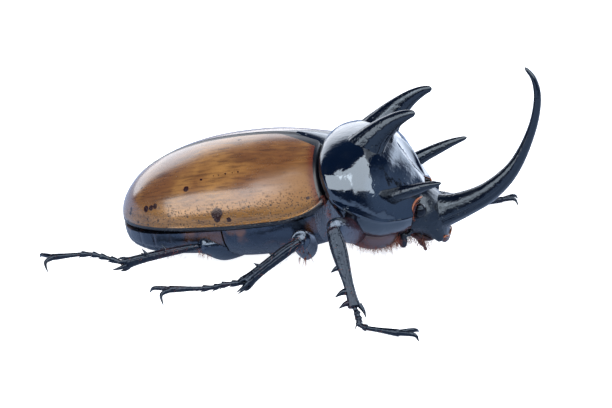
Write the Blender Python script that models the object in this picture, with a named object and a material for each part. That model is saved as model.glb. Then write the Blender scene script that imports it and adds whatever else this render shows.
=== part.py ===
"""Five-horned rhinoceros beetle (male Eupatorus gracilicornis), a still life-size museum model.

The beetle stands on its six feet with its head towards +X and its left side towards +Y. Sizes below
are in millimetres; every mesh is scaled to metres when it is made. The hind body is drawn in a frame
of its own, (u, y, w), pitched head-up; the prothorax, head, horns and legs are drawn in world axes.
The floor is z = 0, and CENTRE moves the whole beetle so that its box stands centred on the origin.
"""

import math

import bmesh
import bpy
import numpy as np
from mathutils import Matrix, Vector

MM = 0.001
GAP = 0.3
ACROSS = (0.0, 1.0, 0.0)
SPINE_END = 0.12
CLAW_Z = 0.15
CENTRE = (2.5, -3.5)

BODY_PITCH = math.radians(10.0)
HALF_WIDTH = 16.5
BROADEST_U = -8.0
BASE_U = 7.2
TAIL_U = -33.7
SHOULDER_DROP = 3.3
HIGHEST_U = -5.0
BACK_W = 24.3
MARGIN_W = 12.05
BELLY_CLEARANCE = 0.8
WAIST_U = -9.6
TRUNK_INSET = 1.1
TRUNK_SQUARE = 3.4
BASE_LEAN = 0.28
BASE_TOP_W = 22.4
LEAN_REACH = 3.0

# The front face of the prothorax: x at its top, height of its top and foot, x gained per mm down,
# half width at the top and depth of its hollow.
FACE_X, FACE_TOP, FACE_FOOT = 16.45, 26.0, 16.7
FACE_SLOPE, FACE_HALF, FACE_HOLLOW = 0.683, 5.0, 0.7

EYE_CENTRE = (22.6, 6.0, 13.3)
EYE_RADIUS = 1.35

BLACK = (0.008, 0.010, 0.016)
BROWN_BLACK = (0.030, 0.014, 0.010)
OCHRE = (0.50, 0.20, 0.04)


def clear_scene():
    for item in list(bpy.data.objects):
        bpy.data.objects.remove(item, do_unlink=True)


def make_collection(name, hidden=False):
    collection = bpy.data.collections.new(name)
    collection.hide_render = hidden
    bpy.context.scene.collection.children.link(collection)
    return collection


def make_material(name, colour, roughness):
    material = bpy.data.materials.new(name)
    material.use_nodes = True
    shader = material.node_tree.nodes["Principled BSDF"]
    shader.inputs["Base Color"].default_value = (*colour, 1.0)
    shader.inputs["Roughness"].default_value = roughness
    shader.inputs["Metallic"].default_value = 0.0
    return material


def add_mesh(name, points, faces):
    """A mesh object of points in millimetres, with its faces turned outwards."""
    mesh = bpy.data.meshes.new(name)
    placed = (np.asarray(points, float) + (CENTRE[0], CENTRE[1], 0.0)) * MM
    mesh.from_pydata([tuple(p) for p in placed], [], [tuple(f) for f in faces])
    shape = bmesh.new()
    shape.from_mesh(mesh)
    bmesh.ops.remove_doubles(shape, verts=shape.verts, dist=0.002 * MM)
    bmesh.ops.triangulate(shape, faces=[f for f in shape.faces if len(f.verts) > 4])
    bmesh.ops.recalc_face_normals(shape, faces=shape.faces)
    shape.to_mesh(mesh)
    shape.free()
    item = bpy.data.objects.new(name, mesh)
    PARTS.objects.link(item)
    return item


def loft(name, rings):
    """A closed solid through rings with one count of points, with a flat cap at each end."""
    rings = [np.asarray(ring, float) for ring in rings]
    count = len(rings[0])
    faces = [list(range(count - 1, -1, -1))]
    for k in range(len(rings) - 1):
        low, high = k * count, (k + 1) * count
        for i in range(count):
            j = (i + 1) % count
            faces.append([low + i, low + j, high + j, high + i])
    faces.append(list(range((len(rings) - 1) * count, len(rings) * count)))
    return add_mesh(name, np.vstack(rings), faces)


def through(keys, count):
    """Rows read evenly along a smooth curve through the given rows (Catmull-Rom)."""
    keys = np.asarray(keys, float)
    padded = np.vstack([2 * keys[0] - keys[1], keys, 2 * keys[-1] - keys[-2]])
    rows = []
    for at in np.linspace(0, len(keys) - 1, count):
        k = min(int(at), len(keys) - 2)
        t = at - k
        a, b, c, d = padded[k : k + 4]
        rows.append(
            0.5 * (2 * b + (c - a) * t + (2 * a - 5 * b + 4 * c - d) * t**2
                   + (3 * b - a - 3 * c + d) * t**3)
        )
    return np.array(rows)


def limb(name, keys, sides=10, rings=8, wide=(0, 0, 1), grow=0.0):
    """A tapering limb through keys of (x, y, z, half thickness along wide, half thickness across)."""
    rows = through(keys, rings)
    centres = rows[:, :3]
    along = np.gradient(centres, axis=0)
    along /= np.linalg.norm(along, axis=1)[:, None]
    if grow:
        centres[0] -= along[0] * grow
        centres[-1] += along[-1] * grow
    turns = np.linspace(0, 2 * np.pi, sides, endpoint=False)
    loops = []
    for centre, axis, row in zip(centres, along, rows):
        first = np.asarray(wide, float) - axis * np.dot(wide, axis)
        first /= np.linalg.norm(first)
        second = np.cross(axis, first)
        a, b = row[3] + grow, row[4] + grow
        loops.append([centre + a * math.cos(t) * first + b * math.sin(t) * second for t in turns])
    return loft(name, loops)


def cone(name, base, tip, radius, sides=6, grow=0.0):
    """A spine from base to tip, a cone primitive with a small blunt end."""
    base, tip = Vector(base), Vector(tip)
    tip += (tip - base).normalized() * grow
    span = tip - base
    shape = bmesh.new()
    place = Matrix.Translation((base + tip) / 2) @ span.to_track_quat("Z", "Y").to_matrix().to_4x4()
    bmesh.ops.create_cone(shape, cap_ends=True, segments=sides, radius1=radius + grow,
                          radius2=SPINE_END + grow, depth=span.length, matrix=place)
    points = [tuple(v.co) for v in shape.verts]
    faces = [[v.index for v in f.verts] for f in shape.faces]
    shape.free()
    return add_mesh(name, points, faces)


def ball(name, centre, radii, segments=12, rings=8):
    """An ellipsoid from a UV sphere."""
    shape = bmesh.new()
    place = Matrix.Translation(Vector(centre)) @ Matrix.Diagonal((*radii, 1.0))
    bmesh.ops.create_uvsphere(shape, u_segments=segments, v_segments=rings, radius=1.0, matrix=place)
    points = [tuple(v.co) for v in shape.verts]
    faces = [[v.index for v in f.verts] for f in shape.faces]
    shape.free()
    return add_mesh(name, points, faces)


def apply_modifiers(item):
    graph = bpy.context.evaluated_depsgraph_get()
    mesh = bpy.data.meshes.new_from_object(item.evaluated_get(graph))
    item.modifiers.clear()
    item.data = mesh


def keep_largest(item):
    """Drops every closed surface of the mesh but the one with the most volume."""
    shape = bmesh.new()
    shape.from_mesh(item.data)
    bmesh.ops.triangulate(shape, faces=shape.faces)
    left = set(shape.verts)
    pieces = []
    while left:
        piece, front = set(), [left.pop()]
        while front:
            vertex = front.pop()
            piece.add(vertex)
            for edge in vertex.link_edges:
                other = edge.other_vert(vertex)
                if other in left:
                    left.remove(other)
                    front.append(other)
        faces = {f for v in piece for f in v.link_faces}
        volume = sum(f.verts[0].co.dot(f.verts[1].co.cross(f.verts[2].co)) for f in faces)
        pieces.append((volume, piece))
    largest = max(pieces, key=lambda found: found[0])[1]
    bmesh.ops.delete(shape, geom=[v for v in shape.verts if v not in largest], context="VERTS")
    shape.to_mesh(item.data)
    shape.free()


def join(item, others):
    """One Boolean union of closed meshes into item; the others are removed."""
    group = bpy.data.collections.new("joined")
    for other in others:
        group.objects.link(other)
    union = item.modifiers.new("join", "BOOLEAN")
    union.operation = "UNION"
    union.operand_type = "COLLECTION"
    union.collection = group
    apply_modifiers(item)
    for other in others:
        bpy.data.objects.remove(other, do_unlink=True)
    bpy.data.collections.remove(group)
    keep_largest(item)
    return item


def cut(item, cutters):
    """Takes each closed cutter out of item, and leaves the cutters to their owner."""
    for cutter in cutters:
        away = item.modifiers.new("cut", "BOOLEAN")
        away.operation = "DIFFERENCE"
        away.object = cutter
        apply_modifiers(item)
    keep_largest(item)
    return item


def as_cutter(item):
    PARTS.objects.unlink(item)
    CUTTERS.objects.link(item)
    item.hide_render = True
    item.display_type = "WIRE"
    return item


def finish(item, material):
    item.data.materials.clear()
    item.data.materials.append(material)
    item.data.shade_smooth()
    item.data.set_sharp_from_angle(angle=math.radians(35))
    return item


def tilted(u, y, w):
    """World millimetres of a point of the pitched hind body."""
    c, s = math.cos(BODY_PITCH), math.sin(BODY_PITCH)
    return (u * c - w * s, y, u * s + w * c)


def half_width(u, square=2.3):
    if u > BROADEST_U:
        return HALF_WIDTH - SHOULDER_DROP * ((u - BROADEST_U) / (BASE_U - BROADEST_U)) ** 2
    t = (u - BROADEST_U) / (TAIL_U - BROADEST_U)
    return HALF_WIDTH * math.sqrt(max(0.0, 1 - t ** square))


def margin_w(u):
    rise = 2.7 * (max(0.0, u) / BASE_U) ** 2
    fall = 0.4 * max(0.0, (-15.0 - u) / 18.0)
    return MARGIN_W + rise - fall


def back_w(u):
    if u > HIGHEST_U:
        return BACK_W - 1.9 * ((u - HIGHEST_U) / 12.5) ** 2
    t = min(1.0, (u - HIGHEST_U) / (TAIL_U - HIGHEST_U))
    return margin_w(u) + (BACK_W - MARGIN_W) * math.sqrt(1 - t**2.3)


def ramp(value, low, high):
    """A smooth step from 0 at low to 1 at high."""
    t = min(1.0, max(0.0, (value - low) / (high - low)))
    return t * t * (3 - 2 * t)


def leaned(u, w):
    """The wing cases' u, moved forward low down at the base, to follow the prothorax's hind edge."""
    return u + (GAP + BASE_LEAN * max(0.0, BASE_TOP_W - w)) * ramp(u, -6.0, BASE_U)


def belly_w(u):
    """The underside, which runs level just over the floor and rounds up to the pygidium."""
    level = (BELLY_CLEARANCE - u * math.sin(BODY_PITCH)) / math.cos(BODY_PITCH)
    keel = level + 0.6 + 3.4 * max(0.0, (u - WAIST_U) / 16.0) ** 1.5
    t = min(1.0, max(0.0, (-32.2 - u) / 1.8))
    return keel + (margin_w(u) - 1.0 - keel) * (1 - math.sqrt(1 - t * t)) * 0.6


def stations(front, rear, count):
    """Stations along u that crowd together at the rear, where the body rounds off."""
    return [front + (rear - front) * math.sin(math.pi / 2 * k / (count - 1)) for k in range(count)]


def elytron(side, name):
    rings = []
    for u in stations(BASE_U, TAIL_U + 0.15, 17):
        wide, low, high = half_width(u), margin_w(u), back_w(u)
        inner = GAP / 2
        wide = max(wide, inner + 0.5)
        turns = np.linspace(0, math.pi / 2, 11)
        rim = [
            (inner + (wide - inner) * math.cos(t) ** 1.06, low + (high - low) * math.sin(t) ** 0.98)
            for t in turns
        ]
        ring = [(inner, low - 0.5), (wide - 0.45, low - 0.5), *rim]
        rings.append([tilted(leaned(u, w), side * y, w) for y, w in ring])
    return loft(name, rings)


def under_body(name, front, rear, count, sides=12, grow=0.0):
    """A length of the trunk below the wing cases: a flat top, and a belly that squares up to the rear."""
    rings = []
    for u in stations(front + grow, rear - grow, count):
        top = margin_w(u - LEAN_REACH * ramp(u, -6.0, BASE_U)) - 0.5 - GAP + grow
        low = min(belly_w(u), top - 1.0) - grow
        wide = max(half_width(min(u, BASE_U), TRUNK_SQUARE) - TRUNK_INSET, 1.0) + grow
        square = 0.32 * ramp(-u, 12.0, 27.0)
        turns = np.linspace(0, math.pi, sides + 1)
        ring = [
            (wide * np.sign(math.cos(t)) * abs(math.cos(t)) ** (0.8 - square),
             top - (top - low) * math.sin(t) ** (0.9 - square))
            for t in turns
        ]
        rings.append([tilted(u, y, w) for y, w in ring])
    return loft(name, rings)


# Prothorax stations, rear to front: x at the side margin, lean of the section per mm of height,
# half width, top, side margin and underside heights, squareness above and below the side margin.
PROTHORAX = (
    (6.9, -0.50, 13.2, 23.6, 17.4, 9.6, 2.10, 2.00),
    (8.9, -0.42, 14.8, 24.8, 16.6, 8.0, 2.30, 2.00),
    (11.4, -0.25, 15.3, 25.8, 15.5, 7.0, 2.30, 2.00),
    (13.8, -0.10, 15.1, 26.1, 14.7, 6.6, 2.30, 2.00),
    (16.4, 0.00, 13.9, 24.6, 13.6, 6.8, 1.85, 2.10),
    (18.0, 0.02, 12.4, 23.3, 13.1, 7.3, 1.60, 2.15),
    (19.5, 0.07, 10.9, 21.6, 12.9, 7.9, 1.35, 2.25),
    (20.7, 0.13, 9.7, 19.6, 12.8, 8.4, 1.20, 2.30),
    (21.8, 0.20, 8.2, 17.7, 12.8, 8.8, 1.25, 2.40),
)


def face_x(y, z):
    """The steep, hollowed front face, which narrows downwards between the upper horns."""
    share = (z - FACE_FOOT) / (FACE_TOP - FACE_FOOT)
    half = FACE_HALF * min(1.0, max(0.05, share))
    hollow = FACE_HOLLOW * max(0.0, 1 - (y / half) ** 2) * ramp(z, 16.5, 20.0)
    return FACE_X + FACE_SLOPE * (FACE_TOP - z) - hollow


def prothorax(name, grow=0.0, rings=25, sides=40):
    """The shield: sections from rear to front, drawn back onto the face where they lie ahead of it."""
    rows = through(PROTHORAX, rings)
    loops = []
    for k, (x, lean, wide, top, middle, low, above, below) in enumerate(rows):
        end = -grow if k == 0 else grow if k == len(rows) - 1 else 0.0
        ring = []
        for t in np.linspace(0, 2 * math.pi, sides, endpoint=False):
            c, s = math.cos(t), math.sin(t)
            power = above if s > 0 else below
            y = np.sign(c) * abs(c) ** (2 / power) * (wide + grow)
            reach = (top - middle if s > 0 else middle - low) + grow
            z = middle + np.sign(s) * abs(s) ** (2 / power) * reach
            ahead = x + end + lean * (z - middle)
            if z > FACE_FOOT - 1:
                ahead = min(ahead, face_x(y, z) + grow)
            ring.append((ahead, y, z))
        loops.append(ring)
    return loft(name, loops)


# Horn and head outlines: centre line and half thickness (across, up-down). Right horns mirror these.
UPPER_HORN = (
    (10.6, 4.4, 20.6, 3.2, 4.0),
    (12.3, 5.3, 23.5, 2.8, 3.5),
    (14.0, 6.0, 26.0, 2.1, 2.7),
    (15.9, 6.6, 28.2, 1.55, 2.0),
    (17.9, 7.1, 30.0, 1.2, 1.45),
    (19.8, 7.4, 31.2, 0.85, 1.0),
    (21.6, 7.5, 31.9, 0.4, 0.4),
)
LOWER_HORN = (
    (15.0, 8.4, 14.8, 1.6, 1.8),
    (17.6, 9.5, 16.4, 1.4, 1.5),
    (19.9, 10.5, 17.8, 1.2, 1.25),
    (22.4, 11.4, 19.1, 1.05, 1.05),
    (24.9, 12.1, 20.3, 0.75, 0.75),
    (27.4, 12.7, 21.3, 0.28, 0.25),
)
HEAD_HORN = (
    (22.0, 0.0, 10.4, 4.8, 4.0),
    (24.4, 0.0, 10.9, 3.8, 3.5),
    (26.8, 0.0, 11.7, 2.8, 2.85),
    (29.6, 0.0, 13.0, 2.3, 2.35),
    (33.2, 0.0, 15.2, 1.8, 1.95),
    (36.3, 0.0, 18.2, 1.5, 1.6),
    (38.6, 0.0, 21.6, 1.25, 1.2),
    (40.4, 0.0, 26.0, 1.1, 0.9),
    (41.5, 0.0, 30.4, 0.95, 0.75),
    (41.7, 0.0, 34.4, 0.8, 0.65),
    (40.9, 0.0, 37.4, 0.6, 0.5),
    (39.3, 0.0, 39.3, 0.3, 0.2),
)
HEAD = (
    (17.4, 0.0, 11.4, 5.6, 5.4),
    (19.6, 0.0, 11.4, 6.0, 5.2),
    (21.8, 0.0, 11.0, 6.1, 4.6),
    (23.6, 0.0, 9.8, 5.2, 3.6),
    (25.2, 0.0, 7.8, 4.0, 2.0),
    (26.2, 0.0, 6.2, 3.2, 0.8),
)


def mirrored(keys, side):
    return [(row[0], side * row[1], *row[2:]) for row in keys]


# Each leg: knee, ankle, tip of the last tarsal joint, two claw tips, by pair and side.
LEGS = {
    "front_right": {
        "root": (14.0, -6.0, 9.0), "knee": (10.3, -21.0, 14.6), "ankle": (16.3, -29.0, 3.5),
        "middle": (18.0, -30.5, 0.9), "end": (24.7, -31.2, 0.9),
        "claws": ((27.3, -28.2, CLAW_Z), (28.0, -31.9, CLAW_Z)),
    },
    "front_left": {
        "root": (14.0, 6.0, 9.0), "knee": (13.0, 18.5, 7.2), "ankle": (24.4, 27.2, 3.5),
        "middle": (26.8, 31.0, 0.9), "end": (31.4, 35.8, 0.9),
        "claws": ((34.0, 38.9, CLAW_Z), (34.7, 35.0, CLAW_Z)),
    },
    "middle_right": {
        "root": (1.5, -7.0, 6.0), "knee": (4.0, -18.6, 10.4), "ankle": (-4.4, -24.0, 3.8),
        "middle": (-11.0, -25.0, 2.4), "end": (-18.1, -26.0, 1.8),
        "claws": ((-17.9, -29.3, CLAW_Z), (-22.1, -24.6, CLAW_Z)),
    },
    "middle_left": {
        "root": (1.5, 7.0, 6.0), "knee": (4.0, 18.6, 10.4), "ankle": (-4.4, 24.0, 3.8),
        "middle": (-11.0, 25.6, 2.4), "end": (-18.0, 27.2, 1.8),
        "claws": ((-18.0, 30.5, CLAW_Z), (-22.0, 26.2, CLAW_Z)),
    },
    "hind_right": {
        "root": (-8.6, -6.5, 4.4), "knee": (-15.4, -16.0, 6.3), "ankle": (-29.2, -18.0, 2.2),
        "middle": (-36.5, -18.0, 3.3), "end": (-43.8, -17.6, 1.7),
        "claws": ((-43.1, -20.9, CLAW_Z), (-47.2, -14.6, CLAW_Z)),
    },
    "hind_left": {
        "root": (-8.6, 6.5, 4.4), "knee": (-14.0, 17.2, 6.3), "ankle": (-22.8, 27.0, 2.3),
        "middle": (-29.4, 29.8, 2.9), "end": (-35.8, 31.2, 1.5),
        "claws": ((-35.0, 34.4, CLAW_Z), (-39.4, 29.6, CLAW_Z)),
    },
}
# By pair: femur half thicknesses (tall, across) at its root, middle and knee, the shift of its middle,
# and tibia half thicknesses (along the outer edge, across) at its top, waist and foot.
THICKNESS = {
    "front": {
        "femur": ((2.2, 1.9), (2.3, 1.8), (1.7, 1.6)), "sag": (0.0, 0.0, -0.5),
        "tibia": ((1.4, 1.1), (0.9, 0.8), (1.05, 0.8)),
    },
    "middle": {
        "femur": ((2.0, 1.8), (2.5, 1.9), (2.0, 1.8)), "sag": (0.9, 0.0, -1.0),
        "tibia": ((1.05, 1.0), (1.0, 0.95), (1.2, 1.1)),
    },
    "hind": {
        "femur": ((2.2, 1.9), (3.0, 2.2), (1.6, 1.5)), "sag": (0.0, 0.0, -0.1),
        "tibia": ((0.75, 0.75), (0.85, 0.85), (1.05, 0.95)),
    },
}


def along(start, stop, t):
    return np.asarray(start, float) * (1 - t) + np.asarray(stop, float) * t


def femur(name, leg, pair, grow=0.0):
    root, knee = leg["root"], leg["knee"]
    first, bulge, last = THICKNESS[pair]["femur"]
    sag = THICKNESS[pair]["sag"]
    keys = [
        (*root, *first),
        (*(along(root, knee, 0.5) + sag), *bulge),
        (*along(root, knee, 0.88), *last),
        (*knee, last[0] * 0.75, last[1] * 0.75),
    ]
    return limb(name, keys, sides=12, rings=9, grow=grow)


def tibia_keys(leg, pair):
    knee, ankle = leg["knee"], leg["ankle"]
    top, waist, foot = THICKNESS[pair]["tibia"]
    bow = (0.0, 0.0, 0.2)
    return [
        (*along(knee, ankle, 0.02), top[0] * 0.8, top[1] * 0.8),
        (*(along(knee, ankle, 0.3) + bow), *top),
        (*(along(knee, ankle, 0.72) + bow), *waist),
        (*ankle, *foot),
    ]


def side_ways(leg):
    """Unit vectors along the tibia, out of its outer edge, and out of its flat face."""
    knee, ankle = np.array(leg["knee"]), np.array(leg["ankle"])
    run = (ankle - knee) / np.linalg.norm(ankle - knee)
    outer = np.array((-1.0, 0.0, 0.25))
    outer -= run * outer.dot(run)
    outer /= np.linalg.norm(outer)
    return run, outer, np.cross(run, outer)


def tibia(name, leg, pair, grow=0.0):
    run, outer, flat = side_ways(leg)
    core = limb(name, tibia_keys(leg, pair), sides=10, rings=8, wide=outer, grow=grow)
    knee, ankle = leg["knee"], leg["ankle"]
    spines = []
    if pair == "front":
        for k, (at, reach, width) in enumerate(((0.50, 2.3, 0.75), (0.79, 2.7, 0.8), (0.93, 2.6, 0.75))):
            base = along(knee, ankle, at)
            tip = base + outer * reach + run * reach * 0.15
            spines.append(cone(f"{name}_tooth{k}", base, tip, width, 6, grow))
        spur = along(knee, ankle, 0.97) - outer * 0.9
        tip = spur + run * 2.6 - outer * 0.5
        spines.append(cone(f"{name}_spur", spur, tip, 0.5, 6, grow))
        return join(core, spines)
    for k, at in enumerate((0.42, 0.68)):
        for turn in (-0.9, 0.0, 0.9):
            way = outer * math.cos(turn) + flat * math.sin(turn)
            base = along(knee, ankle, at) + (0, 0, 0.3)
            tip = base + way * 1.7 + run * 0.9
            spines.append(cone(f"{name}_spine{k}{turn}", base, tip, 0.45, 5, grow))
    for k, turn in enumerate(np.linspace(0, 2 * math.pi, 6, endpoint=False)):
        way = outer * math.cos(turn) + flat * math.sin(turn)
        base = np.array(ankle) - run * 0.6 + way * 0.7
        length = 3.0 if k in (2, 4) else 1.7
        tip = base + run * length + way * 0.45
        spines.append(cone(f"{name}_end{k}", base, tip, 0.5, 5, grow))
    return join(core, spines)


def tarsus(name, leg):
    """Five joints, each widening to its far end, and two curved claws, fused into one piece."""
    ankle, middle, end = (np.array(leg[k]) for k in ("ankle", "middle", "end"))
    line = through([ankle, along(ankle, middle, 0.55) + (0, 0, 0.25), middle, end], 41)
    line[:, 2] = np.maximum(line[:, 2], GAP + 0.55)
    stops = (0, 9, 16, 23, 29, 40)
    pieces = []
    for k in range(5):
        start, stop = line[stops[k]], line[stops[k + 1]]
        slim, thick = (0.48, 0.62) if k < 4 else (0.48, 0.70)
        back = (start - stop) / np.linalg.norm(stop - start)
        keys = [
            (*(start + back * 0.35), slim, slim),
            (*along(start, stop, 0.5), (slim + thick) / 2, (slim + thick) / 2),
            (*(stop - back * 0.1), thick, thick),
        ]
        pieces.append(limb(f"{name}_{k}", keys, sides=8, rings=4))
    for k, tip in enumerate(leg["claws"]):
        tip = np.array(tip)
        onward = (end - middle) / np.linalg.norm(end - middle)
        knuckle = along(end, tip, 0.5) + (0, 0, 0.5) + 0.6 * onward
        inside = end + (line[36] - end) * 0.3
        keys = [(*inside, 0.5, 0.45), (*knuckle, 0.42, 0.38), (*tip, 0.3, 0.25)]
        pieces.append(limb(f"{name}_claw{k}", keys, sides=6, rings=5))
    return join(pieces[0], pieces[1:])


def flat_feet(item):
    """Planes off whatever reaches below the floor, which leaves a small flat under each foot."""
    size, depth = 200.0, 20.0
    centre = (CENTRE[0], CENTRE[1], -depth / 2)
    slab = bmesh.new()
    place = Matrix.Translation(Vector(centre) * MM) @ Matrix.Diagonal((size * MM, size * MM, depth * MM, 1.0))
    bmesh.ops.create_cube(slab, size=1.0, matrix=place)
    mesh = bpy.data.meshes.new("floor_plane")
    slab.to_mesh(mesh)
    slab.free()
    cutter = bpy.data.objects.new("floor_plane", mesh)
    CUTTERS.objects.link(cutter)
    cut(item, [cutter])
    bpy.data.objects.remove(cutter, do_unlink=True)
    return item


def antenna(name, side):
    """Bent stalk from in front of the eye, ending in a club of three leaves."""
    root = (21.4, side * 4.6, 9.2)
    elbow = (20.4, side * 5.8, 8.2)
    club = (19.4, side * 5.4, 8.2)
    stalk = limb(name, [(*root, 0.45, 0.45), (*elbow, 0.35, 0.35), (*club, 0.45, 0.45)], 8, 6)
    leaves = []
    for k, offset in enumerate((-0.75, 0.0, 0.75)):
        top = (19.4 + offset * 0.25, side * (5.4 + 0.55 * offset), 8.6)
        foot = (19.3 + offset * 0.6, side * (5.4 + offset), 5.8)
        keys = [(*top, 0.45, 0.3), (*along(top, foot, 0.5), 0.75, 0.34), (*foot, 0.4, 0.22)]
        leaves.append(limb(f"{name}_leaf{k}", keys, 8, 5, wide=(1, 0, 0)))
    return join(stalk, leaves)


def mouthparts(name):
    """The block of jaws under the head, with two pairs of jointed feelers."""
    block = ball(name, (22.2, 0.0, 6.9), (2.2, 2.8, 1.4), 12, 8)
    feelers = []
    for side in (-1, 1):
        for k, (root, knee, tip) in enumerate((
            ((22.4, 2.2, 6.6), (22.9, 3.0, 5.5), (23.4, 3.0, 4.4)),
            ((21.4, 1.4, 6.2), (21.9, 1.6, 5.4), (22.4, 1.4, 4.7)),
        )):
            keys = [(*p, r, r) for p, r in ((root, 0.35), (knee, 0.32), (tip, 0.27))]
            feelers.append(limb(f"{name}_{side}{k}", mirrored(keys, side), 6, 5))
    return join(block, feelers)


clear_scene()
PARTS = make_collection("five_horned_rhinoceros_beetle")
CUTTERS = make_collection("cutters", hidden=True)


def main():
    shell = make_material("wing_case", OCHRE, 0.25)
    black = make_material("black_cuticle", BLACK, 0.22)
    belly = make_material("belly", BROWN_BLACK, 0.35)
    nodes = {}

    fat_prothorax = as_cutter(prothorax("prothorax_clearance", GAP))
    nodes["prothorax"] = finish(prothorax("prothorax"), black)
    shield = [
        (4.2, 0.0, 22.7, 0.8, 3.7), (1.8, 0.0, 23.15, 0.75, 2.7), (-0.5, 0.0, 23.5, 0.6, 1.4),
        (-2.0, 0.0, 23.7, 0.4, 0.4),
    ]
    fat_scutellum = as_cutter(limb("scutellum_clearance", shield, 12, 6, grow=GAP))
    nodes["scutellum"] = cut(limb("scutellum", shield, 12, 6), [fat_prothorax])
    for side, word in ((-1, "right"), (1, "left")):
        case = elytron(side, f"elytron_{word}")
        nodes[f"elytron_{word}"] = cut(case, [fat_prothorax, fat_scutellum])
    nodes["pterothorax"] = cut(
        under_body("pterothorax", 7.0, WAIST_U, 9), [fat_prothorax])
    nodes["abdomen"] = under_body("abdomen", WAIST_U - GAP, TAIL_U - 0.1, 16)
    fat_trunk = as_cutter(under_body("trunk_clearance", 7.0, TAIL_U - 0.1, 24, grow=GAP))

    fat_head = as_cutter(limb("head_clearance", HEAD, 18, 12, ACROSS, GAP))
    nodes["head"] = cut(limb("head", HEAD, 18, 12, ACROSS), [fat_prothorax])
    nodes["horn_head"] = cut(limb("horn_head", HEAD_HORN, 14, 26, ACROSS), [fat_head, fat_prothorax])
    jaws = mouthparts("mouthparts")
    nodes["mouthparts"] = cut(jaws, [fat_head, fat_prothorax])
    for side, word in ((-1, "right"), (1, "left")):
        upper = limb(f"horn_upper_{word}", mirrored(UPPER_HORN, side), 12, 14, (0.0, side * 0.94, 0.34))
        nodes[f"horn_upper_{word}"] = cut(upper, [fat_prothorax])
        lower = limb(f"horn_lower_{word}", mirrored(LOWER_HORN, side), 12, 12, ACROSS)
        nodes[f"horn_lower_{word}"] = cut(lower, [fat_prothorax])
        place = (EYE_CENTRE[0], side * EYE_CENTRE[1], EYE_CENTRE[2])
        eye = ball(f"eye_{word}", place, (EYE_RADIUS,) * 3, 16, 10)
        nodes[f"eye_{word}"] = cut(eye, [fat_head, fat_prothorax])
        nodes[f"antenna_{word}"] = cut(antenna(f"antenna_{word}", side), [fat_head, fat_prothorax])

    for leg_name, leg in LEGS.items():
        pair = leg_name.split("_")[0]
        thigh = femur(f"femur_{leg_name}", leg, pair)
        nodes[thigh.name] = cut(thigh, [fat_prothorax, fat_trunk])
        fat_femur = as_cutter(femur("femur_clearance", leg, pair, GAP))
        fat_tibia = as_cutter(tibia("tibia_clearance", leg, pair, GAP))
        shin = flat_feet(tibia(f"tibia_{leg_name}", leg, pair))
        nodes[shin.name] = cut(shin, [fat_femur])
        foot = tarsus(f"tarsus_{leg_name}", leg)
        foot.name = f"tarsus_{leg_name}"
        nodes[foot.name] = flat_feet(cut(foot, [fat_tibia]))
        for cutter in (fat_femur, fat_tibia):
            bpy.data.objects.remove(cutter, do_unlink=True)

    for name, item in nodes.items():
        material = black
        if name.startswith("elytron"):
            material = shell
        elif name in ("abdomen", "pterothorax"):
            material = belly
        finish(item, material)


main()
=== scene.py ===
"""Looks of a five-horned rhinoceros beetle (male Eupatorus gracilicornis), a still museum model.

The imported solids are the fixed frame. Each body part gets a fine surface in their place, worked out
with numpy from the same driving sizes, and a procedural finish. Sizes are in millimetres, in the
beetle's own axes (+X to the head, +Y to its left side, floor at z = 0); MIDDLE shifts them into the
frame's axes when a mesh is made. A key is a row of x, y, z and two half thicknesses.
"""

import logging
import math
from collections.abc import Callable
from dataclasses import dataclass, field
from enum import Enum

import bpy
import numpy as np
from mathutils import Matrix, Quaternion, Vector

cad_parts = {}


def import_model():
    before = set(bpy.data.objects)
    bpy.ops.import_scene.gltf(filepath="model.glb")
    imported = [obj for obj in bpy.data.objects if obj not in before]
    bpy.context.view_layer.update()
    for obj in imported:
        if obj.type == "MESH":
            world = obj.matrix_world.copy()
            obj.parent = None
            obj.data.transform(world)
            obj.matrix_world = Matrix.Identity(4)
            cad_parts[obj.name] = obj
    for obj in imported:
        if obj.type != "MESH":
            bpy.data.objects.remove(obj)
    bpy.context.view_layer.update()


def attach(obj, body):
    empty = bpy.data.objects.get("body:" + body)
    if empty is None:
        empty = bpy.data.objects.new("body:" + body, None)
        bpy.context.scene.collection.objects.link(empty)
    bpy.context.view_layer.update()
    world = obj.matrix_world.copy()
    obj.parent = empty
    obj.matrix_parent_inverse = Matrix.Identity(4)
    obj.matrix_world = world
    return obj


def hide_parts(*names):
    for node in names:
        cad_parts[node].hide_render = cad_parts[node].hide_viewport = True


Array = np.ndarray
Material = bpy.types.Material
Group = bpy.types.NodeTree
Socket = bpy.types.NodeSocket

MM = 0.001
MIDDLE = np.array([2.5, -3.5, 0.0])
PHOTO_WIDTH = 612
HALF_TURN = np.pi
FULL_TURN = 2 * np.pi
UP = (0, 0, 1)
TIP_RINGS = (8, 9)
OVAL = 2.3
LOG = logging.getLogger("beetle")


class Side(Enum):
    """The two sides of the body, with the sign of y."""

    RIGHT = -1
    LEFT = 1

    @property
    def word(self) -> str:
        """The word that ends a node's name on this side."""
        return self.name.lower()

    @property
    def mirror(self) -> tuple:
        """Factors that move a key to this side."""
        return (1, self.value, 1, 1, 1)


class Pair(Enum):
    """The three pairs of legs."""

    FRONT = "front"
    MIDDLE = "middle"
    HIND = "hind"


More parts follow.
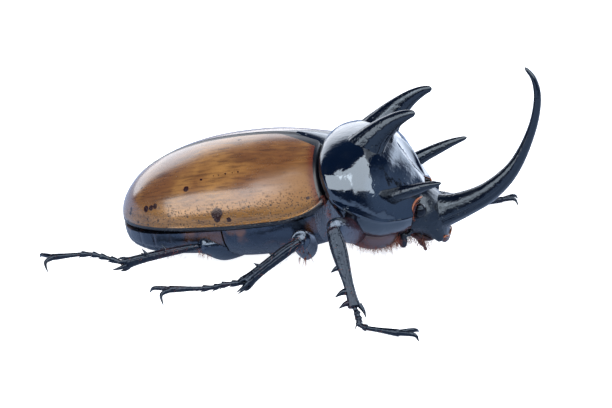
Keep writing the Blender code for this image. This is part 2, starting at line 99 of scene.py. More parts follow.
def through(keys: Array, at: Array) -> Array:
    """Reads a smooth curve (Catmull-Rom) through rows of keys.

    Args:
        keys: rows of numbers, one row for each key.
        at: places between 0 and 1 along the rows.

    Returns:
        One row for each place: the cubic that passes through the keys with half the difference of a
        key's neighbours as its slope there.
    """
    keys = np.asarray(keys, float)
    padded = np.vstack([2 * keys[0] - keys[1], keys, 2 * keys[-1] - keys[-2]])
    place = np.clip(at, 0, 1) * (len(keys) - 1)
    k = np.minimum(place.astype(int), len(keys) - 2)
    t = (place - k)[:, None]
    a, b, c, d = (padded[k + i] for i in range(4))
    return 0.5 * (2 * b + (c - a) * t + (2 * a - 5 * b + 4 * c - d) * t**2
                  + (3 * b - a - 3 * c + d) * t**3)


def bump(x: Array, centre: float, width: float) -> Array:
    """A bell curve of height 1: exp(-((x - centre) / width) squared)."""
    return np.exp(-(((x - centre) / width) ** 2))


def step(x: Array, low: float, high: float) -> Array:
    """A smooth step: 0 below low, 1 above high, 3t^2 - 2t^3 between them."""
    t = np.clip((x - low) / (high - low), 0, 1)
    return t * t * (3 - 2 * t)


def near(x: Array, width: float, soft: float) -> Array:
    """1 where x is under width and 0 past it, with an edge that is soft on both sides."""
    return 1 - step(x, width - soft, width + soft)


def unit(v: Array) -> Array:
    """Vectors scaled to length 1 along their last axis."""
    return v / np.maximum(np.linalg.norm(v, axis=-1, keepdims=True), 1e-9)


def between(a: Array, b: Array, t: float) -> Array:
    """The point at the share t of the way from a to b."""
    return np.asarray(a, float) * (1 - t) + np.asarray(b, float) * t


def apart(turn: Array, place: float) -> Array:
    """The angle from place to turn, brought between minus and plus half a turn."""
    return np.angle(np.exp(1j * (turn - place)))


def along(grid: Array) -> Array:
    """For each point of a tube, its place from the first ring (0) to the last (1)."""
    return np.linspace(0, 1, grid.shape[0])[:, None] + np.zeros(grid.shape[:2])


def patches(grid: Array, rows: tuple, core: float, rim: float) -> Array:
    """Round patches on a grid, the strongest one where they overlap.

    Args:
        grid: points of shape (rows, columns, 3).
        rows: x, y, z, radius and strength of each patch.
        core: share of the radius up to which a patch has its full strength.
        rim: share of the radius at which it has faded out.

    Returns:
        Strengths of shape (rows, columns).
    """
    found = np.zeros(grid.shape[:2])
    for *centre, radius, strength in rows:
        away = np.linalg.norm(grid - centre, axis=-1)
        found = np.maximum(found, strength * (1 - step(away, radius * core, radius * rim)))
    return found


def wall(index: Array) -> Array:
    """Four-sided faces between the neighbouring rings of a grid of point numbers."""
    low, high = index[:-1], index[1:]
    return np.stack([low, np.roll(low, -1, 1), np.roll(high, -1, 1), high], -1).reshape(-1, 4)


def put(name: str, data: bpy.types.ID) -> bpy.types.Object:
    """A new object with this data, in the scene."""
    item = bpy.data.objects.new(name, data)
    bpy.context.scene.collection.objects.link(item)
    return item


def make_mesh(name: str, points: Array, faces: list, masks: dict) -> bpy.types.Mesh:
    """Makes a smooth mesh in the frame's axes and metres.

    Args:
        name: the mesh's name.
        points: rows of x, y, z in millimetres.
        faces: rows of point numbers.
        masks: attribute name to one value for each point.

    Returns:
        The mesh.
    """
    mesh = bpy.data.meshes.new(name)
    mesh.from_pydata(((points + MIDDLE) * MM).tolist(), [], faces)
    for key, values in masks.items():
        mesh.attributes.new(key, "FLOAT", "POINT").data.foreach_set("value", values)
    mesh.shade_smooth()
    return mesh


def dress(item: bpy.types.Object, finish: Material, slot: str, *nodes: str) -> None:
    """Gives a piece its finish and its place in the frame.

    Args:
        item: the piece.
        finish: its material.
        slot: not used.
        nodes: the nodes that it replaces.
    """
    item.data.materials.clear()
    item.data.materials.append(finish)
    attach(item, "root")
    if nodes:
        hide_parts(*nodes)
    LOG.info("%s: %d faces", item.name, len(item.data.polygons))


@dataclass
class Surface:
    """One mesh gathered from closed grids of points."""

    name: str
    points: list = field(default_factory=list)
    quads: list = field(default_factory=list)
    caps: list = field(default_factory=list)
    masks: dict = field(default_factory=dict)
    count: int = 0

    @classmethod
    def of(cls, name: str, *grids: Array, **masks: Array) -> "Surface":
        """A surface of grids that share their masks."""
        surface = cls(name)
        for grid in grids:
            surface.add(grid, **masks)
        return surface

    def add(self, grid: Array, **masks: Array) -> None:
        """Adds a tube-like grid, closed round its second axis and capped at both ends.

        Args:
            grid: points of shape (rows, columns, 3), in millimetres.
            masks: numbers, or values of shape (rows, columns), kept as attributes of the points;
                a grid that doesn't give one that another grid gives has 0 for it.
        """
        rows, columns = grid.shape[:2]
        a, b = grid[:-1], grid[1:]
        across = np.roll(a, -1, axis=1) - a
        volume = (np.cross(across, b - a) * (a - grid.mean(axis=(0, 1)))).sum()
        index = np.arange(rows * columns).reshape(rows, columns) + self.count
        faces, first, last = wall(index), index[0][::-1], index[-1]
        if volume < 0:
            faces, first, last = faces[:, ::-1], first[::-1], last[::-1]
        self.points.append(grid.reshape(-1, 3))
        self.quads.append(faces)
        self.caps += [first.tolist(), last.tolist()]
        for key, values in masks.items():
            values = np.broadcast_to(values, (rows, columns))
            self.masks.setdefault(key, []).append((self.count, values.reshape(-1)))
        self.count += rows * columns

    def build(self, finish: Material, slot: str, node: str, sharp: float = 50.0) -> None:
        """Makes the piece in a node's place.

        Args:
            finish: its material.
            slot: passed on to dress, which does not use it.
            node: the node that it replaces.
            sharp: angle in degrees over which an edge stays sharp.
        """
        masks = {}
        for key, parts in self.masks.items():
            masks[key] = np.zeros(self.count, np.float32)
            for start, part in parts:
                masks[key][start : start + len(part)] = part
        faces = np.vstack(self.quads).tolist() + self.caps
        mesh = make_mesh(self.name, np.vstack(self.points), faces, masks)
        mesh.set_sharp_from_angle(angle=math.radians(sharp))
        dress(put(self.name, mesh), finish, slot, node)


def sweep(keys: Array, rows: int, sides: int, wide: tuple = (0, 1, 0),
          shape: Callable | None = None, blunt: tuple = (0.0, 0.0)) -> Array:
    """A tapering tube: ellipses carried along a smooth path.

    Args:
        keys: rows of x, y, z, half thickness along wide, half thickness across it.
        rows: number of ellipses.
        sides: number of points round each.
        wide: direction that the first half thickness follows.
        shape: optional function of (place along, angle) that gives a factor on the radius.
        blunt: share of the length at each end over which the tube rounds off to its tip.

    Returns:
        A grid of points, centre + r (a cos t first + b sin t second).
    """
    least = 0.03
    at = np.linspace(0, 1, rows)
    if blunt[0]:
        at = np.concatenate([blunt[0] * np.linspace(0, 1, TIP_RINGS[0])[:-1] ** 2, at[at >= blunt[0]]])
    if blunt[1]:
        at = np.concatenate([at[at < 1 - blunt[1]], 1 - blunt[1] * np.linspace(1, 0, TIP_RINGS[1]) ** 2])
    row = through(keys, at)
    centre = row[:, :3]
    axis = unit(np.gradient(centre, at, axis=0))
    wide = np.asarray(wide, float)
    first = unit(wide - axis * (axis @ wide)[:, None])
    second = np.cross(axis, first)
    turn = np.linspace(0, FULL_TURN, sides, endpoint=False)[None, :]
    factor = np.ones((len(at), sides))
    if shape is not None:
        factor = factor * shape(at[:, None], turn)
    for amount, away in ((blunt[0], at), (blunt[1], 1 - at)):
        if amount:
            inside = np.clip(away / amount, 0, 1)
            factor = factor * np.maximum(np.sqrt(1 - (1 - inside) ** 2), least)[:, None]
    a, b = row[:, 3, None] * factor, row[:, 4, None] * factor
    return (centre[:, None] + (a * np.cos(turn))[..., None] * first[:, None]
            + (b * np.sin(turn))[..., None] * second[:, None])


def spine(base: Array, tip: Array, radius: float, bend: Array | float = 0.0, sides: int = 8) -> Array:
    """A pointed spine.

    Args:
        base: the middle of its root.
        tip: its point.
        radius: half its thickness at the root.
        bend: shift of its middle.
        sides: number of points round it.

    Returns:
        A grid of points.
    """
    base, tip = np.asarray(base, float), np.asarray(tip, float)
    middle = (base + tip) / 2 + bend
    keys = [(*base, radius, radius), (*middle, radius * 0.62, radius * 0.62),
            (*tip, radius * 0.1, radius * 0.1)]
    wide = (0, 1, 0) if abs(unit(tip - base)[1]) < 0.8 else (1, 0, 0)
    return sweep(keys, 9, sides, wide)


class Tree:
    """A material's or a group's nodes, with short calls to add and join them."""

    def __init__(self, tree: Group) -> None:
        """Keeps the node tree."""
        self.tree = tree

    def add(self, kind: str, **values) -> bpy.types.Node:
        """Adds a node; values set its properties, or its inputs by in_ and a name or number.

        Args:
            kind: the node's type name, without ShaderNode.
            values: property values, input values, or output sockets to join to inputs.

        Returns:
            The new node.
        """
        node = self.tree.nodes.new("ShaderNode" + kind)
        inputs = {k: v for k, v in values.items() if k.startswith("in_")}
        for key, value in values.items():
            if key not in inputs:
                setattr(node, key, value)
        for key, value in inputs.items():
            label = key[3:]
            self.join(value, node.inputs[int(label) if label.isdigit() else label])
        return node

    def join(self, value: Socket | tuple | float, socket: Socket) -> None:
        """Sets an input to a value, or joins an output socket to it."""
        if isinstance(value, Socket):
            self.tree.links.new(value, socket)
        else:
            socket.default_value = value

    def math(self, operation: str, a: Socket | float, b: Socket | float, clamp: bool = False) -> Socket:
        """One Math node's result."""
        return self.add("Math", operation=operation, use_clamp=clamp, in_0=a, in_1=b).outputs[0]

    def times(self, a: Socket | float, b: Socket | float, clamp: bool = False) -> Socket:
        """The product of two values."""
        return self.math("MULTIPLY", a, b, clamp)

    def plus(self, a: Socket | float, b: Socket | float, clamp: bool = False) -> Socket:
        """The sum of two values."""
        return self.math("ADD", a, b, clamp)

    def total(self, start: Socket | float, *terms: tuple) -> Socket:
        """A start and each term's value times its weight, added up."""
        for value, weight in terms:
            start = self.plus(self.times(value, weight), start)
        return start

    def rest(self, value: Socket) -> Socket:
        """What is left of 1."""
        return self.math("SUBTRACT", 1.0, value)

    def mix(self, factor: Socket, a: Socket | tuple, b: Socket | tuple) -> Socket:
        """A colour between a and b, either of them a socket or red, green and blue."""
        node = self.add("Mix", data_type="RGBA", in_Factor=factor)
        for socket, value in zip((node.inputs[6], node.inputs[7]), (a, b)):
            self.join((*value, 1.0) if isinstance(value, tuple) else value, socket)
        return node.outputs[2]

    def ramp(self, value: Socket, low: float, high: float, to_low: float = 0.0,
             to_high: float = 1.0) -> Socket:
        """A value mapped smoothly from one range to another."""
        return self.add("MapRange", interpolation_type="SMOOTHSTEP", in_Value=value, in_1=low, in_2=high,
                        in_3=to_low, in_4=to_high).outputs[0]

    def noise(self, place: Socket, scale: float | Socket, detail: float) -> Socket:
        """A noise's value."""
        return self.add("TexNoise", in_Vector=place, in_Scale=scale, in_Detail=detail).outputs[0]

    def mask(self, name: str) -> Socket:
        """A named attribute of the mesh."""
        return self.add("Attribute", attribute_name=name).outputs["Fac"]


class Paint(Tree):
    """A new material's nodes, with its shader to hand."""

    def __init__(self, name: str) -> None:
        """Makes the material."""
        self.material = bpy.data.materials.new(name)
        self.material.use_nodes = True
        super().__init__(self.material.node_tree)
        self.place = self.add("TexCoord").outputs["Object"]

    def relief(self, height: Socket, depth: float, strength: float = 1.0) -> Socket:
        """The normal of a bump of this depth in metres."""
        return self.add("Bump", in_Height=height, in_Strength=strength, in_Distance=depth).outputs[0]

    def set(self, **inputs: Socket | tuple | float) -> Material:
        """Sets or joins the shader's inputs, named with _ for a space, and returns the material."""
        shader = self.tree.nodes["Principled BSDF"]
        for key, value in inputs.items():
            self.join(value, shader.inputs[key.replace("_", " ")])
        return self.material


def make_group(name: str, numbers: dict, results: tuple) -> tuple:
    """An empty node group with Vector and numbers in, and numbers out.

    Args:
        name: the group's name.
        numbers: input name to default value.
        results: output names.

    Returns:
        The group, its Tree, the sockets of what is given and the sockets of the results.
    """
    group = bpy.data.node_groups.new(name, "ShaderNodeTree")
    group.interface.new_socket("Vector", in_out="INPUT", socket_type="NodeSocketVector")
    for key, value in numbers.items():
        socket = group.interface.new_socket(key, in_out="INPUT", socket_type="NodeSocketFloat")
        socket.default_value = value
    for key in results:
        group.interface.new_socket(key, in_out="OUTPUT", socket_type="NodeSocketFloat")
    given, out = group.nodes.new("NodeGroupInput"), group.nodes.new("NodeGroupOutput")
    return group, Tree(group), given.outputs, out.inputs


def pits_group() -> Group:
    """Fine punctures: small round hollows at random places.

    Returns:
        A group with Vector, Scale and Coverage in, and Pits (1 in a pit) and Height out. A pit is
        where the distance to the nearest cell point is small; Coverage sets how many cells have one.
    """
    group, tree, given, out = make_group("punctures", {"Scale": 1500.0, "Coverage": 0.6},
                                         ("Pits", "Height"))
    cells = tree.add("TexVoronoi", in_Vector=given["Vector"], in_Scale=given["Scale"])
    pick = tree.add("SeparateColor", in_0=cells.outputs["Color"]).outputs[0]
    close = tree.ramp(cells.outputs["Distance"], 0.22, 0.42, 1.0, 0.0)
    pits = tree.times(close, tree.math("LESS_THAN", pick, given["Coverage"]))
    tree.join(pits, out["Pits"])
    tree.join(tree.times(pits, -1.0), out["Height"])
    return group


def relief_group() -> Group:
    """The slow unevenness of horn: low waves and a finer grain.

    Returns:
        A group with Vector, Scale, Grain and Share in, and Height and Tone out: two noises added,
        the second at Grain times the first's scale and Share of its height.
    """
    group, tree, given, out = make_group("horn_relief", {"Scale": 300.0, "Grain": 6.0, "Share": 0.22},
                                         ("Height", "Tone"))
    slow = tree.noise(given["Vector"], given["Scale"], 3.0)
    fine = tree.noise(given["Vector"], tree.times(given["Scale"], given["Grain"]), 2.0)
    tree.join(tree.plus(slow, tree.times(fine, given["Share"])), out["Height"])
    tree.join(slow, out["Tone"])
    return group


@dataclass(frozen=True)
class BlackCuticle:
    """Polished black horn with a blue-grey cast, fine pits and slow unevenness."""

    name: str
    colour: tuple = (0.0004, 0.0011, 0.0036)
    dusty: tuple = (0.0040, 0.0050, 0.0070)
    roughness: float = 0.08
    pit_scale: float = 1500.0
    pit_cover: float = 0.25
    pit_depth: float = 0.06
    wave_scale: float = 260.0
    wave_grain: float = 2.8
    wave_share: float = 1.2
    wave_depth: float = 0.5
    wrinkle: float = 0.0
    gloss: float = 0.85
    coat: float = 0.3
    blotch: float = 0.0
    blotch_scale: float = 210.0
    sheen_cast: tuple = (0.72, 0.86, 1.0, 1.0)
    red: tuple = (0.060, 0.010, 0.004)
    relief_depth: float = 0.00010
    index: float = 1.56
    coat_roughness: float = 0.06

    def material(self, pits: Group, relief: Group) -> Material:
        """Builds the finish; the mesh may hold the masks red (joints), dull and pitted.

        Args:
            pits: the punctures' group.
            relief: the horn's unevenness.

        Returns:
            The material.
        """
        paint = Paint(self.name)
        pitted = paint.mask("pitted")
        holes = paint.add("Group", node_tree=pits, in_Vector=paint.place, in_Scale=self.pit_scale,
                          in_Coverage=self.pit_cover)
        waves = paint.add("Group", node_tree=relief, in_Vector=paint.place, in_Scale=self.wave_scale,
                          in_Grain=self.wave_grain, in_Share=self.wave_share)
        tone = paint.ramp(waves.outputs["Tone"], 0.45, 0.75)
        stain = paint.ramp(paint.noise(paint.place, self.blotch_scale, 4.0), 0.52, 0.66)
        stain = paint.plus(paint.times(stain, self.blotch), paint.mask("red"), True)
        colour = paint.mix(paint.times(tone, 0.5), self.colour, self.dusty)
        height = paint.times(holes.outputs["Height"], paint.plus(pitted, self.pit_depth))
        swell = paint.total(self.wave_depth, (pitted, self.wrinkle))
        height = paint.plus(height, paint.times(waves.outputs["Height"], swell))
        return paint.set(
            Base_Color=paint.mix(stain, colour, self.red),
            Roughness=paint.total(self.roughness, (tone, 0.10), (paint.mask("dull"), 0.30)),
            Normal=paint.relief(height, self.relief_depth), IOR=self.index,
            Specular_IOR_Level=self.gloss, Specular_Tint=self.sheen_cast, Coat_Weight=self.coat,
            Coat_Roughness=self.coat_roughness)


@dataclass(frozen=True)
class WingCaseFinish:
    """Ochre wing case: streaked tan, dark punctures, black border and base, dark spots."""

    name: str = "wing_case_ochre"
    tan: tuple = (0.104, 0.041, 0.012)
    pale: tuple = (0.205, 0.098, 0.026)
    streak: tuple = (0.030, 0.010, 0.004)
    pit: tuple = (0.010, 0.004, 0.002)
    blush: tuple = (0.060, 0.008, 0.002)
    shoulder: tuple = (0.115, 0.046, 0.005)
    black: tuple = (0.0006, 0.0012, 0.0030)
    spot: tuple = (0.012, 0.0015, 0.001)
    roughness: float = 0.24
    gilt: float = 0.32
    coat: float = 0.55
    relief_depth: float = 0.00009
    index: float = 1.52
    coat_roughness: float = 0.12

    def material(self, pits: Group, relief: Group) -> Material:
        """Builds the finish from the wing case's masks.

        Border, spots, low (the lower flank), shoulder and blush (the base) say where each colour
        goes; lane and down unroll the case for the streaks that run along it. The low flank is also
        painted paler, a painted highlight where the light falls on it. The low flank and the
        shoulder are a little metallic, as old gold, and have less of the clear coat.

        Args:
            pits: the punctures' group.
            relief: the horn's unevenness.

        Returns:
            The material.
        """
        paint = Paint(self.name)
        place, low, shoulder = paint.place, paint.mask("low"), paint.mask("shoulder")
        unrolled = paint.add("CombineXYZ", in_0=paint.times(paint.mask("down"), 0.20),
                             in_1=paint.mask("lane")).outputs[0]
        bands = paint.ramp(paint.noise(unrolled, 420.0, 4.0), 0.44, 0.68)
        grain = paint.ramp(paint.noise(unrolled, 1700.0, 5.0), 0.43, 0.68)
        cloud = paint.add("Group", node_tree=relief, in_Vector=place, in_Scale=120.0)
        fine, large = (
            paint.add("Group", node_tree=pits, in_Vector=place, in_Scale=scale, in_Coverage=cover)
            for scale, cover in ((2600.0, 0.95), (1300.0, 0.12)))
        dots = paint.plus(paint.times(fine.outputs["Pits"], 0.80),
                          paint.times(large.outputs["Pits"], 0.9), True)
        dots = paint.times(dots, paint.plus(low, 0.20, True))
        wobble = paint.noise(place, 900.0, 3.0)
        scar = paint.ramp(paint.total(paint.mask("spots"), (wobble, 0.35)), 0.55, 0.75)
        border = paint.ramp(paint.total(paint.mask("border"), (wobble, 0.25)), 0.52, 0.72)
        inside = paint.rest(border)
        colour = paint.mix(paint.ramp(cloud.outputs["Tone"], 0.35, 0.7), self.tan, self.pale)
        for share, over in (
            # low mixes in pale: a painted highlight, the lower flank made paler where the light falls on it
            (paint.times(bands, 0.36), self.streak), (paint.times(low, 0.75), self.pale),
            (paint.times(grain, 0.46), self.streak), (shoulder, self.shoulder),
            (paint.mask("blush"), self.blush), (dots, self.pit), (scar, self.spot),
            (border, self.black),
        ):
            colour = paint.mix(share, colour, over)
        rough = paint.total(self.roughness, (dots, 0.2), (border, 0.05),
                            (paint.times(shoulder, inside), 0.36))
        deep = paint.total(0.04, (low, 0.40))
        height = paint.times(paint.times(dots, deep), -1.0)
        height = paint.total(height, (cloud.outputs["Height"], 0.45))
        gilt = paint.times(paint.times(paint.plus(shoulder, low, True), self.gilt), inside)
        bare = paint.plus(shoulder, paint.times(dots, 0.6), True)
        bare = paint.plus(bare, paint.times(low, 0.4), True)
        bare = paint.math("MAXIMUM", bare, paint.math("MAXIMUM", border, scar))
        return paint.set(
            Base_Color=colour, Roughness=rough, Metallic=gilt, IOR=self.index,
            Normal=paint.relief(height, self.relief_depth), Coat_Roughness=self.coat_roughness,
            Coat_Weight=paint.times(paint.rest(bare), self.coat))


@dataclass(frozen=True)
class HairFinish:
    """Bristles, red-brown at the root and paler at the tip."""

    name: str = "rust_bristle"
    root: tuple = (0.075, 0.012, 0.005)
    tip: tuple = (0.22, 0.050, 0.022)
    roughness: float = 0.42

    def material(self) -> Material:
        """Builds the finish from the masks along (root 0, tip 1) and tone."""
        paint = Paint(self.name)
        shade = paint.times(paint.mask("along"), paint.plus(paint.mask("tone"), 0.5), True)
        return paint.set(Base_Color=paint.mix(shade, self.root, self.tip), Roughness=self.roughness)


@dataclass(frozen=True)
class EyeFinish:
    """A dark, glossy compound eye with a net of facets."""

    name: str = "compound_eye"
    colour: tuple = (0.0015, 0.0012, 0.0012)
    glow: tuple = (0.004, 0.003, 0.004)
    facet_scale: float = 9000.0
    facet_depth: float = 0.00002
    roughness: float = 0.12
    gloss: float = 0.3
    sheen_cast: tuple = (0.6, 0.78, 1.0, 1.0)

    def material(self) -> Material:
        """Builds the finish: facet cells in the bump, a brown cast in the colour."""
        paint = Paint(self.name)
        cells = paint.add("TexVoronoi", in_Vector=paint.place, in_Scale=self.facet_scale)
        facet = paint.ramp(cells.outputs["Distance"], 0.2, 0.6)
        return paint.set(
            Base_Color=paint.mix(facet, self.glow, self.colour), Roughness=self.roughness,
            Normal=paint.relief(facet, self.facet_depth, 0.25), Specular_IOR_Level=self.gloss,
            Specular_Tint=self.sheen_cast)


@dataclass
class Body:
    """Driving sizes of the pitched hind body, shared by wing cases and trunk.

    u runs along the body to the head and w up from its axis, both turned head-up by the pitch.
    """

    pitch: float = math.radians(10.0)
    half_wide: float = 16.5
    broadest_u: float = -8.0
    base_u: float = 7.2
    tail_u: float = -33.7
    shoulder_drop: float = 3.3
    highest_u: float = -5.0
    back: float = 24.3
    back_drop: float = 1.9
    back_run: float = 12.5
    margin: float = 12.05
    shoulder_rise: float = 2.7
    sink: float = 0.4
    sink_u: float = -15.0
    sink_run: float = 18.0
    clearance: float = 0.8
    keel: float = 0.6
    chest_rise: float = 3.4
    chest_run: float = 16.0
    tip_u: float = -32.2
    tip_run: float = 1.8
    waist_u: float = -9.6
    gap: float = 0.3
    base_lean: float = 0.28
    lean_reach: float = 3.0
    inset: float = 1.1
    trunk_square: float = 3.4

    def leaned(self, u: Array, w: Array) -> Array:
        """The wing cases' u, moved forward low down at the base, to follow the prothorax's hind edge."""
        return u + (0.3 + self.base_lean * np.maximum(0, 22.4 - w)) * step(u, -6.0, self.base_u)

    def world(self, u: Array, y: Array, w: Array) -> Array:
        """World points of body coordinates."""
        c, s = math.cos(self.pitch), math.sin(self.pitch)
        u, y, w = np.broadcast_arrays(u, y, w)
        return np.stack([u * c - w * s, y, u * s + w * c], -1)

    def half_width(self, u: Array, square: float = OVAL) -> Array:
        """Half width in plan: a half ellipse (or squarer) to the rear, a falling parabola ahead.

        Args:
            u: places along the body.
            square: power of the ellipse; the higher, the squarer.

        Returns:
            The half widths.
        """
        ahead = (u - self.broadest_u) / (self.base_u - self.broadest_u)
        front = self.half_wide - self.shoulder_drop * ahead**2
        t = (u - self.broadest_u) / (self.tail_u - self.broadest_u)
        behind = self.half_wide * np.sqrt(np.clip(1 - np.clip(t, 0, 1) ** square, 0, 1))
        return np.where(u > self.broadest_u, front, behind)

    def margin_w(self, u: Array) -> Array:
        """Height of the side margin: level, rising at the shoulder and sinking a little behind."""
        return (self.margin + self.shoulder_rise * (np.maximum(0, u) / self.base_u) ** 2
                - self.sink * np.maximum(0, (self.sink_u - u) / self.sink_run))

    def back_w(self, u: Array) -> Array:
        """Height of the suture line: a parabola in front, a flattened half ellipse behind."""
        t = np.clip((u - self.highest_u) / (self.tail_u - self.highest_u), 0, 1)
        rear = self.margin_w(u) + (self.back - self.margin) * np.sqrt(1 - t**OVAL)
        front = self.back - self.back_drop * ((u - self.highest_u) / self.back_run) ** 2
        return np.where(u > self.highest_u, front, rear)

    def belly_w(self, u: Array) -> Array:
        """Height of the underside: level just over the floor, rounding up at both ends."""
        level = (self.clearance - u * math.sin(self.pitch)) / math.cos(self.pitch)
        chest = self.chest_rise * np.maximum(0, (u - self.waist_u) / self.chest_run) ** 1.5
        keel = level + self.keel + chest
        t = np.clip((self.tip_u - u) / self.tip_run, 0, 1)
        return keel + (self.margin_w(u) - 1.0 - keel) * (1 - np.sqrt(1 - t * t)) * 0.6


@dataclass
class WingCases:
    """The two wing cases, each a closed half dome with a rim and a knob at the shoulder."""

    body: Body
    rows: int = 230
    sides: int = 120
    band: float = 0.75
    rim: float = 0.46
    girth: float = 26.0
    roll_run: float = 0.9
    roll_depth: float = 0.55
    spots: tuple = (
        (-18.9, -12.9, 15.8, 0.55, 1.0), (-16.3, -12.0, 17.5, 0.24, 1.0), (-29.0, -8.4, 13.4, 0.35, 0.6),
        (-26.9, -12.2, 10.9, 0.60, 1.0), (-24.9, -12.9, 11.9, 0.50, 1.0), (-25.8, -12.7, 11.4, 0.50, 1.0),
        (-30.8, -9.6, 9.5, 0.40, 1.0), (-30.9, -9.6, 8.7, 0.40, 1.0), (-12.1, -16.1, 12.9, 1.20, 0.56),
        (-12.0, -16.3, 12.0, 0.60, 1.0), (-9.8, -16.4, 12.1, 0.45, 1.0), (4.0, -13.7, 16.6, 0.30, 1.0),
        (-11.9, -2.7, 22.3, 0.40, 0.6), (-14.1, -11.7, 18.3, 0.16, 1.0), (-13.0, -11.7, 18.6, 0.12, 1.0),
        (-11.9, -11.6, 18.9, 0.18, 1.0), (-10.6, -11.5, 19.2, 0.12, 1.0), (-9.5, -11.4, 19.4, 0.16, 1.0),
    )

    def grid(self, side: Side) -> tuple:
        """The surface of one case and its masks.

        A ring runs from the inner floor edge out to the rim, up over the back to the suture. On the
        back y = wide cos(t)^1.06 and w rises with sin(t)^0.98; bells add the rim's bead and groove,
        the knobs at the shoulder and the rear, and the suture's bead, and roll rounds the base.

        Args:
            side: the case's side.

        Returns:
            The grid and a dict of masks.
        """
        b = self.body
        s = np.linspace(0, 1, self.rows)[:, None]
        u = b.base_u + (b.tail_u + 0.1 - b.base_u) * np.sin(HALF_TURN / 2 * s)
        inner = b.gap / 2
        wide = np.maximum(b.half_width(u), inner + 0.4)
        low, high = b.margin_w(u), b.back_w(u)
        lane = np.linspace(0, 1, self.sides) ** 1.25
        t = (lane * HALF_TURN / 2)[None, :]
        y = inner + (wide - inner) * np.cos(t) ** 1.06
        w = low + (high - low) * np.sin(t) ** 0.98
        lift = (0.06 * bump(t, 0.0, 0.030) - 0.10 * bump(t, 0.075, 0.030)
                + 0.22 * bump(u, 2.6, 2.4) * bump(t, 0.78, 0.20)
                + 0.35 * bump(u, -27.0, 2.6) * bump(t, 0.62, 0.22)
                + 0.10 * bump(y, inner, 0.5))
        from_base = np.clip((b.base_u - u) / self.roll_run, 0, 1)
        roll = -self.roll_depth * (1 - np.sqrt(np.clip(1 - (1 - from_base) ** 2, 0, 1)))
        out = lift + roll
        ny, nw = np.cos(t) / wide, np.sin(t) / (high - low)
        size = np.hypot(ny, nw)
        y2, w2 = np.maximum(y + out * ny / size, inner), w + out * nw / size
        under = np.concatenate([np.full_like(u, inner), np.maximum(wide - 0.5, inner + 0.2)], 1)
        floor = np.repeat(low - 0.5, 2, axis=1)
        ring_y, ring_w = np.concatenate([under, y2], 1), np.concatenate([floor, w2], 1)
        grid = b.world(b.leaned(u, ring_w), side.value * ring_y, ring_w)
        masks = self.masks(u + 0 * ring_y, ring_y, ring_w - low, (ring_w - low) / (high - low))
        masks["spots"] = patches(grid, self.spots if side is Side.RIGHT else (), 0.8, 1.25)
        masks["lane"] = np.concatenate([[0.0, 0.0], lane])[None, :] * self.girth * MM
        return grid, masks

    def masks(self, u: Array, y: Array, above: Array, share: Array) -> dict:
        """Border, low flank, shoulder and blush, each 0 to 1, and down, the place along the case.

        Args:
            u: places along the body.
            y: places out from the middle plane.
            above: heights over the rim.
            share: the same as a share of the case's height.

        Returns:
            Mask name to values.
        """
        b = self.body
        from_base = b.base_u - u
        suture = near(y - b.gap / 2, self.band, 0.25)
        shield = (1 - step(y - 0.48 * (u + 2.0), 0.1, 0.5)) * step(u, -3.0, -1.5)
        border = np.maximum(np.maximum(suture, shield), near(from_base, self.band, 0.3))
        shoulder = 0.85 * step(u, -5.0, 4.5) * step(share, 0.02, 0.3) * (1 - step(share, 0.55, 0.85))
        return {"border": np.maximum(border, near(above, self.rim, 0.15)),
                "low": 1 - step(share, 0.16, 0.56), "shoulder": shoulder,
                "blush": 0.85 * (1 - step(from_base, self.band + 0.1, self.band + 1.5)), "down": u * MM}

    def build(self, finish: Material) -> None:
        """Makes both cases."""
        for side in Side:
            grid, masks = self.grid(side)
            surface = Surface.of(f"wing_case_{side.word}", grid, **masks)
            surface.build(finish, "wing_case", f"elytron_{side.word}")


